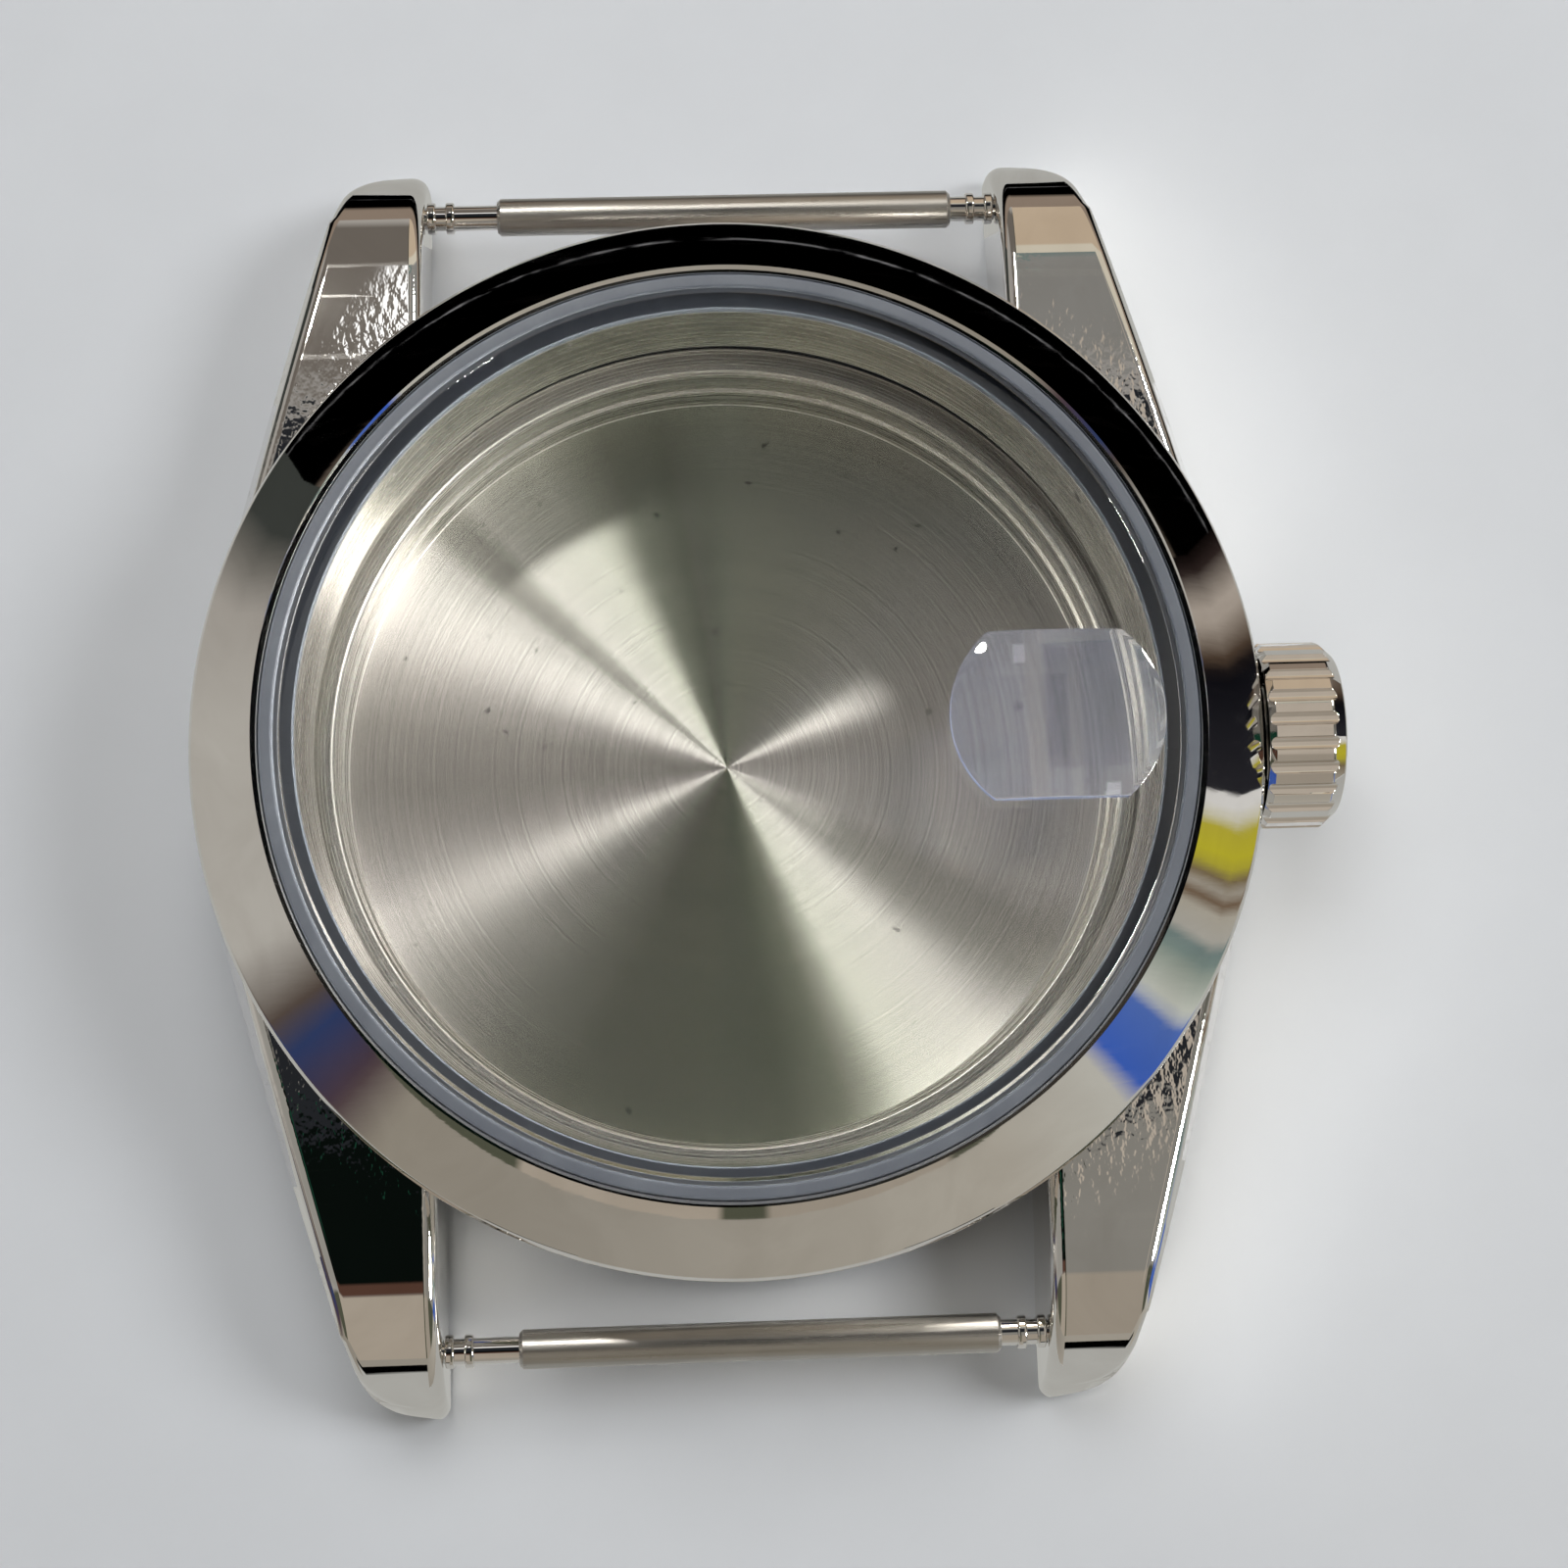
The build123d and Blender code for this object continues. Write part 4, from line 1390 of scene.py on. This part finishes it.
    def inner_pieces(self) -> None:
        """The washer, the retainer, the post and the spring."""
        washer = self.ring(self.barrel + RUNNING_GAP, self.bore - RUNNING_GAP,
                           self.start + self.bore_depth - self.washer, self.washer, 0.08)
        retainer = self.ring(self.retainer_bore, self.barrel_bore - self.retainer_gap, self.start, self.retainer, 0.04)
        start, end = self.post_head + self.post_head_length, self.start + self.barrel_depth
        spring = coil(self.barrel_bore - RUNNING_GAP - self.wire, self.wire, start, end, self.turns, 24)
        seal, turned = self.finishes.black_seal, self.finishes.crown_turned
        finish_piece(washer, Placing("crown_seal", ("crown_washer",), "black_seal", "crown", 40.0), seal)
        finish_piece(retainer, Placing("crown_stop_ring", ("crown_retainer",), "turned_steel", "crown_core"), turned)
        finish_piece(self.post(), Placing("crown_rod", ("crown_post",), "turned_steel", "crown_stem"), turned)
        blend = ("crown_stem", "crown_core", (start, 0, CROWN_AXIS), (end, 0, CROWN_AXIS))
        placing = Placing("crown_coil", ("crown_spring",), "spring_steel", "crown_core", 60.0, blend)
        finish_piece(self.lay(spring, 0.0), placing, self.finishes.spring)


# Sprung bars


@dataclass
class SprungBar:
    """One sprung strap bar: a tube, two collared pins and the coil between them."""

    finishes: Finishes
    label: str
    along: float
    tube_radius: float = 0.65
    tube_bore: float = 0.47
    tube_start: float = -7.5
    tube_end: float = 8.45
    tube_bevel: float = 0.12
    face: float = 9.95
    tip: float = 0.35
    tip_length: float = 0.95
    collar: float = 0.55
    collar_length: float = 0.3
    groove: float = 0.42
    groove_length: float = 0.35
    neck: float = 0.43
    pin_ends: Pair = (-4.5, 5.45)
    wire: float = 0.06
    half_turns: float = 15.0

    def lay(self, bm: Mesh) -> Mesh:
        """Lay a piece on the bar's axis."""
        return laid(bm, 0, self.along, BAR_HEIGHT)

    def tube(self) -> None:
        """The satin tube with its bevelled mouths."""
        bevelled = self.tube_radius - self.tube_bevel
        outline = Outline(self.tube_bore, self.tube_start).to(
            (bevelled, self.tube_start), (self.tube_radius, self.tube_start + self.tube_bevel),
            (self.tube_radius, self.tube_end - self.tube_bevel), (bevelled, self.tube_end),
            (self.tube_bore, self.tube_end),
        )
        placing = Placing(f"{self.label}_strap_tube", (f"{self.label}_bar_tube",), "satin_steel",
                          f"{self.label}_bar", 25.0)
        finish_piece(self.lay(lathe(outline.close(), BAR_STEPS)), placing, self.finishes.satin)

    def pin(self, side: int) -> None:
        """One pin, with its tip in the lug and its neck in the tube.

        Args:
            side: -1 for the left pin and 1 for the right one.
        """
        word, inner = ("left", -self.pin_ends[0]) if side < 0 else ("right", self.pin_ends[1])
        first = self.face - self.collar_length
        second = first - self.groove_length
        third = second - self.collar_length
        outline = Outline(0, inner).to(
            (self.neck, inner, 0.06), (self.neck, third), (self.collar, third, 0.06), (self.collar, second, 0.06),
            (self.groove, second), (self.groove, first), (self.collar, first, 0.06), (self.collar, self.face, 0.06),
            (self.tip, self.face), (self.tip, self.face + self.tip_length, 0.12), (0, self.face + self.tip_length),
        )
        pin = lathe(outline, BAR_STEPS)
        if side < 0:
            turn(pin, math.pi, "X")
        placing = Placing(f"{self.label}_{word}_tip", (f"{self.label}_bar_{word}_pin",), "turned_steel",
                          f"{self.label}_{word}_pin", 30.0)
        finish_piece(self.lay(pin), placing, self.finishes.polished)

    def springs(self) -> None:
        """The coil, in two halves that meet in the middle, each pressed by its own pin."""
        left, right = self.pin_ends
        middle = (left + right) / 2
        radius = self.tube_bore - RUNNING_GAP - self.wire
        for word, start, end, outer in (("left", left, middle, left), ("right", middle, right, right)):
            bm = self.lay(coil(radius, self.wire, start, end, self.half_turns, 16))
            blend = (f"{self.label}_bar", f"{self.label}_{word}_pin",
                     (middle, self.along, BAR_HEIGHT), (outer, self.along, BAR_HEIGHT))
            placing = Placing(f"{self.label}_{word}_coil", (f"{self.label}_bar_spring",), "spring_steel",
                              f"{self.label}_bar", 60.0, blend)
            finish_piece(bm, placing, self.finishes.spring)


# Studio


@dataclass(frozen=True)
class Patch:
    """A soft-edged rectangle of the sky, in the X and Y parts of a direction that looks up."""

    across: Pair
    along: Pair
    colour: Colour
    softness: float = 0.02


@dataclass(frozen=True)
class Lamp:
    """A round lamp that looks at the case: its angles in degrees, its size in millimetres and its power in watts.

    A mirrored lamp shows only in steel, and any other one lights only matt things.
    """

    name: str
    azimuth: float
    elevation: float
    size: float
    power: float
    mirrored: bool = True


SKY_PATCHES = (
    Patch((-0.9, -0.42), (-0.36, 0.36), (0.34, 0.33, 0.30), 0.04),
    Patch((-0.44, -0.16), (-0.02, 0.37), (0.20, 0.19, 0.17), 0.02),
    Patch((0.34, 0.9), (-0.36, 0.36), (0.13, 0.125, 0.105), 0.04),
    Patch((0.05, 2.0), (0.40, 0.503), (0.27, 0.265, 0.25), 0.01),
    Patch((-0.6, 0.05), (0.40, 0.93), (0.17, 0.15, 0.13), 0.02),
    Patch((-0.015, 0.05), (0.37, 0.93), (0.06, 0.065, 0.045), 0.01),
    Patch((0.05, 2.0), (0.51, 2.0), (0.72, 0.66, 0.54), 0.006),
    Patch((0.05, 2.0), (0.61, 2.0), (0.60, 0.48, 0.35), 0.012),
    Patch((-2.0, 2.0), (-2.0, -0.40), (0.09, 0.095, 0.065), 0.02),
    Patch((-0.50, -0.035), (-2.0, -0.40), (0.44, 0.385, 0.315), 0.01),
    Patch((0.075, 0.50), (-2.0, -0.40), (0.38, 0.335, 0.275), 0.01),
    Patch((-0.04, 0.075), (-0.44, -0.02), (0.04, 0.045, 0.03), 0.01),
    Patch((0.06, 0.6), (-0.41, -0.02), (0.27, 0.26, 0.235), 0.03),
    Patch((-0.40, -0.02), (-0.40, -0.02), (0.10, 0.05, 0.035), 0.02),
    Patch((-0.40, 0.02), (-0.26, 0.0), (0.003, 0.005, 0.004), 0.02),
    Patch((-0.30, -0.15), (-0.16, 0.0), (0.01, 0.05, 0.03), 0.01),
    Patch((-0.16, 0.17), (-0.04, 0.37), (0.02, 0.022, 0.026), 0.01),
    Patch((0.175, 0.235), (-0.55, 0.5), (0.54, 0.475, 0.40), 0.01),
    Patch((0.05, 0.4), (0.503, 0.511), (0.12, 0.2, 0.2), 0.003),
    Patch((-0.075, -0.02), (0.43, 0.515), (1.5, 1.5, 1.5), 0.006),
)

LAMPS = (
    Lamp("right_glow", 8.0, 48.0, 170.0, 0.66, False),
    Lamp("upper_glow", 105.0, 56.0, 260.0, 0.80, False),
    Lamp("left_glow", 170.0, 62.0, 260.0, 0.27, False),
    Lamp("right_lamp", 36.0, 41.0, 54.0, 0.72),
    Lamp("upper_lamp", 111.7, 57.0, 26.0, 0.86),
    Lamp("lower_lamp", -18.8, 32.0, 115.0, 3.5),
)

# Degrees round the bezel from the crown, as the camera sees it, and what its face mirrors there
HORIZON = (
    (-157, (0.50, 0.48, 0.44)), (-149, (0.10, 0.075, 0.06)), (-145, (0.03, 0.05, 0.14)),
    (-138, (0.08, 0.05, 0.06)), (-132, (0.32, 0.29, 0.24)), (-110, (0.33, 0.305, 0.26)),
    (-60, (0.46, 0.43, 0.37)), (-45, (0.55, 0.54, 0.49)), (-43, (0.05, 0.13, 0.55)),
    (-36, (0.09, 0.17, 0.5)), (-34.5, (0.62, 0.64, 0.58)), (-30, (0.33, 0.38, 0.33)),
    (-27.2, (0.12, 0.2, 0.2)), (-26.2, (0.45, 0.44, 0.4)), (-22.5, (0.45, 0.42, 0.35)),
    (-21.5, (0.14, 0.08, 0.04)), (-20.5, (0.42, 0.39, 0.33)), (-19, (0.18, 0.13, 0.09)),
    (-17, (0.55, 0.50, 0.03)), (-12.3, (0.48, 0.42, 0.05)), (-11.8, (0.75, 0.74, 0.72)),
    (-7.5, (0.02, 0.02, 0.025)), (5, (0.004, 0.004, 0.006)), (7, (0.09, 0.06, 0.04)),
    (12, (0.50, 0.44, 0.38)), (17, (0.03, 0.02, 0.018)), (19.5, (0.0, 0.0, 0.0)),
    (155, (0.05, 0.055, 0.05)), (160, (0.2, 0.19, 0.17)), (165, (0.40, 0.375, 0.34)),
    (179, (0.50, 0.48, 0.44)),
)


@dataclass
class Studio:
    """The floor, the cards that the steel mirrors, the lamps, the sky and the camera."""

    floor_half: float = 1500.0
    floor_drop: float = 0.02
    floor_colour: Colour = (0.65, 0.675, 0.71)
    floor_shade: float = 0.985
    black: Colour = (0.0, 0.0, 0.0)
    wall_radius: float = 110.0
    wall_height: float = 30.0
    sheet_radius: float = 36.0
    card_height: float = 0.3
    black_angles: Pair = (19.5, 148.0)
    black_height: float = 6.0
    over_black: Colour = (0.30, 0.235, 0.185)
    streak: float = 46.5
    streak_width: Pair = (0.3, 1.1)
    streak_colour: Colour = (0.22, 0.22, 0.23)
    face_radius: float = 16.55
    face_height: float = 8.95
    face_slope: float = 42.4
    near_sheet: Pair = (22.0, 36.0)
    near_height: float = 0.2
    near_colour: Colour = (0.48, 0.48, 0.455)
    strip_along: float = -31.0
    strip_rise: Triple = (0.3, 4.9, 6.3)
    strip_across: Pair = (10.5, 18.0)
    lamp_distance: float = 420.0
    lamp_colour: Colour = (1.0, 0.975, 0.91)
    room_low: Colour = (0.46, 0.43, 0.39)
    room_high: Colour = (0.36, 0.345, 0.325)
    room_on_matt: float = 0.38
    backdrop: Colour = (0.62, 0.635, 0.65)
    camera_place: Triple = (-2.74, -18.78, 107.58)
    camera_turn: Triple = (-0.1705, 0.0413, 0.0311)
    focal_share: float = 3159.0 / 1600.0
    sensor: float = 36.0

    def mirrored(self, degrees: float) -> float:
        """Where on the wall the bezel's face mirrors.

        Args:
            degrees: A place on the bezel, in degrees round from the crown.

        Returns:
            The wall's own angle there, in radians.
        """
        around, slope = math.radians(degrees), math.radians(self.face_slope)
        outward, upward = Vector((math.cos(around), math.sin(around), 0)), Vector((0, 0, 1))
        place = outward * self.face_radius + upward * self.face_height
        ray = (place - Vector(self.camera_place)).normalized()
        ray = ray.reflect(outward * math.sin(slope) + upward * math.cos(slope))
        far = place + ray * (self.wall_radius - self.face_radius) / ray.xy.length
        angle = math.atan2(far.y, far.x)
        return angle - FULL_TURN if degrees < -150 and angle > 0 else angle

    def stand(self, bm: Mesh, name: str, material: bpy.types.Material, seen: bool) -> None:
        """Put a stage piece in the scene.

        Args:
            bm: The piece in millimetres; it is freed.
            name: Its name.
            material: Its material.
            seen: Whether the camera and diffuse light meet it, or only mirrors and glass.
        """
        bmesh.ops.scale(bm, verts=bm.verts, vec=(MILLIMETRE,) * 3)
        mesh = to_mesh(name, bm)
        mesh.materials.append(material)
        piece = to_object(name, mesh)
        piece.visible_camera = piece.visible_diffuse = piece.visible_shadow = seen

    def floor(self) -> None:
        """The pale floor that the case rests on."""
        material, sketch, shader = begin_material("pale_floor")
        grain = sketch.spread(sketch.noise(sketch.place(), 260.0, 3.0), 0.35, 0.65)
        darker = tuple(part * self.floor_shade for part in self.floor_colour)
        sketch.feed(shader, {"Base Color": sketch.tint(grain, self.floor_colour, darker), "Roughness": 0.7,
                             "Specular IOR Level": 0.2})
        bm = bmesh.new()
        bmesh.ops.create_grid(bm, x_segments=1, y_segments=1, size=self.floor_half)
        self.stand(move(bm, 0, 0, -self.floor_drop), "floor", material, True)

    def horizon(self) -> None:
        """The low wall of cards round the case, which only its steel mirrors.

        One stretch of it is black at the foot, with a broken grey streak before it.
        """
        material, sketch, glow = begin_material("horizon_cards", "ShaderNodeEmission")
        parts = sketch.parts(sketch.place())
        angle = sketch.maths("ARCTAN2", parts[1], parts[0])
        share = sketch.maths("WRAP", sketch.maths("DIVIDE", angle, FULL_TURN), 1.0, 0.0)
        ramp = sketch.add("ShaderNodeValToRGB", {"Fac": share})
        elements = ramp.color_ramp.elements
        for number, (degrees, colour) in enumerate(HORIZON):
            where = (self.mirrored(degrees) / FULL_TURN) % 1.0
            element = elements[number] if number < 2 else elements.new(where)
            element.position, element.color = where, (*colour, 1.0)
        start, end = (self.mirrored(value) for value in self.black_angles)
        behind = sketch.times(sketch.maths("GREATER_THAN", angle, start), sketch.maths("LESS_THAN", angle, end))
        height = sketch.spread(parts[2], self.black_height * MILLIMETRE, 2.0 * self.black_height * MILLIMETRE)
        off = sketch.maths("ABSOLUTE", sketch.maths("SUBTRACT", sketch.radius(parts), self.streak * MILLIMETRE))
        near = sketch.spread(off, *(width * MILLIMETRE for width in self.streak_width), 1.0, 0.0)
        broken = sketch.spread(sketch.noise(sketch.place(), 420.0, 6.0), 0.42, 0.62)
        rising = sketch.tint(height, self.black, self.over_black)
        rising = sketch.tint(sketch.times(near, broken), rising, self.streak_colour)
        sketch.feed(glow, {"Color": sketch.tint(behind, ramp.outputs["Color"], rising), "Strength": 1.0})
        outline = Outline(self.sheet_radius, self.card_height)
        outline.to((self.wall_radius, self.card_height), (self.wall_radius, self.wall_height))
        self.stand(lathe(outline, 128), "horizon", material, False)

    def strips(self) -> None:
        """The cards close by: one before each near lug, pale below and dark above, and a flat pale ring."""
        material, sketch, glow = begin_material("near_strip", "ShaderNodeEmission")
        bottom, dark, top = self.strip_rise
        up = sketch.parts(sketch.place())[2]
        rising = sketch.spread(up, (dark - 0.3) * MILLIMETRE, (dark + 0.1) * MILLIMETRE)
        sketch.feed(glow, {"Color": sketch.tint(rising, self.near_colour, self.black), "Strength": 1.0})
        half = (self.strip_across[1] - self.strip_across[0]) / 2
        for side, name in ((1, "near_strip_right"), (-1, "near_strip_left")):
            strip = bmesh.new()
            bmesh.ops.create_grid(strip, x_segments=1, y_segments=1, size=1.0)
            bmesh.ops.scale(strip, verts=strip.verts, vec=(half, (top - bottom) / 2, 1))
            turn(strip, QUARTER_TURN, "X")
            move(strip, side * (self.strip_across[0] + half), self.strip_along, (bottom + top) / 2)
            self.stand(strip, name, material, False)
        pale, sketch, glow = begin_material("near_sheet", "ShaderNodeEmission")
        sketch.feed(glow, {"Color": (*self.near_colour, 1.0), "Strength": 1.0})
        inner, outer = ((radius, self.near_height) for radius in self.near_sheet)
        self.stand(lathe(Outline(*inner).to(outer), 64), "near_sheet", pale, False)

    def light(self, lamp: Lamp) -> None:
        """Hang one lamp."""
        data = bpy.data.lights.new(lamp.name, "AREA")
        data.shape, data.size, data.energy = "DISK", lamp.size * MILLIMETRE, lamp.power
        data.color = self.lamp_colour if lamp.mirrored else (1.0, 1.0, 1.0)
        hung = to_object(lamp.name, data)
        across, up = math.radians(lamp.azimuth), math.radians(lamp.elevation)
        way = Vector((math.cos(across) * math.cos(up), math.sin(across) * math.cos(up), math.sin(up)))
        hung.location = way * self.lamp_distance * MILLIMETRE
        hung.rotation_mode = "QUATERNION"
        hung.rotation_quaternion = way.to_track_quat("Z", "Y")
        hung.visible_glossy, hung.visible_diffuse = lamp.mirrored, not lamp.mirrored
        hung.visible_transmission = False

    def patched(self, sketch: Sketch, parts: Any, under: Any, patch: Patch) -> bpy.types.NodeSocket:
        """Lay one patch over the sky that is there so far.

        Args:
            sketch: The sky's sketch.
            parts: The X, Y and Z of the direction.
            under: The sky's colour so far.
            patch: The patch.

        Returns:
            The sky's colour with the patch.
        """
        mask: Any = 1.0
        for part, (low, high) in ((parts[0], patch.across), (parts[1], patch.along)):
            rise = sketch.spread(part, low - patch.softness, low + patch.softness)
            fall = sketch.spread(part, high - patch.softness, high + patch.softness, 1.0, 0.0)
            mask = sketch.times(sketch.times(rise, fall), mask)
        return sketch.tint(mask, under, patch.colour)

    def sky(self) -> None:
        """The room round the case: warm grey, with the dark and pale things that the steel mirrors."""
        world = bpy.data.worlds.new("room")
        bpy.context.scene.world = world
        world.use_nodes = True
        sketch = Sketch(world.node_tree)
        parts = sketch.parts(sketch.add("ShaderNodeTexCoord").outputs["Generated"])
        room = sketch.tint(sketch.spread(parts[2], 0.0, 0.9), self.room_low, self.room_high)
        for patch in SKY_PATCHES:
            room = self.patched(sketch, parts, room, patch)
        path = sketch.add("ShaderNodeLightPath").outputs
        strength = sketch.spread(path["Is Diffuse Ray"], 0.0, 1.0, 1.0, self.room_on_matt)
        light = sketch.add("ShaderNodeBackground", {"Color": room, "Strength": strength})
        pale = sketch.add("ShaderNodeBackground", {"Color": (*self.backdrop, 1.0), "Strength": 1.0})
        mixed = sketch.add("ShaderNodeMixShader", {0: path["Is Camera Ray"], 1: light.outputs[0], 2: pale.outputs[0]})
        sketch.add("ShaderNodeOutputWorld", {"Surface": mixed.outputs[0]})

    def camera(self) -> None:
        """The camera, where the photograph was taken from."""
        data = bpy.data.cameras.new("camera")
        data.sensor_width, data.lens = self.sensor, self.sensor * self.focal_share
        data.clip_start, data.clip_end = 0.005, 20.0
        camera = to_object("camera", data)
        camera.location = metres(self.camera_place)
        turned = Vector(self.camera_turn)
        camera.rotation_mode = "QUATERNION"
        camera.rotation_quaternion = Quaternion(turned.normalized(), turned.length).inverted()
        bpy.context.scene.camera = camera

    def build(self) -> None:
        """Set up the whole studio."""
        self.floor()
        self.horizon()
        self.strips()
        for lamp in LAMPS:
            self.light(lamp)
        self.sky()
        self.camera()
        bpy.context.scene.view_settings.view_transform = "Standard"
        LOG.info("studio ready")


def main() -> None:
    """Build the case from the inside out, then the studio."""
    logging.basicConfig(level=logging.INFO, format="%(name)s %(message)s")
    finishes = Finishes()
    MiddleCase(finishes).build()
    BezelRing(finishes).build()
    crystal = CrystalSet(finishes)
    crystal.disc()
    crystal.seal()
    crystal.magnifier()
    back = ScrewedBack(finishes)
    back.build()
    back.seal()
    crown = CrownSet(finishes)
    crown.knob()
    crown.tube()
    crown.inner_pieces()
    for label, along in (("upper", BAR_ALONG), ("lower", -BAR_ALONG)):
        bar = SprungBar(finishes, label, along)
        bar.tube()
        bar.pin(-1)
        bar.pin(1)
        bar.springs()
    Studio().build()


if __name__ == "__main__":
    main()
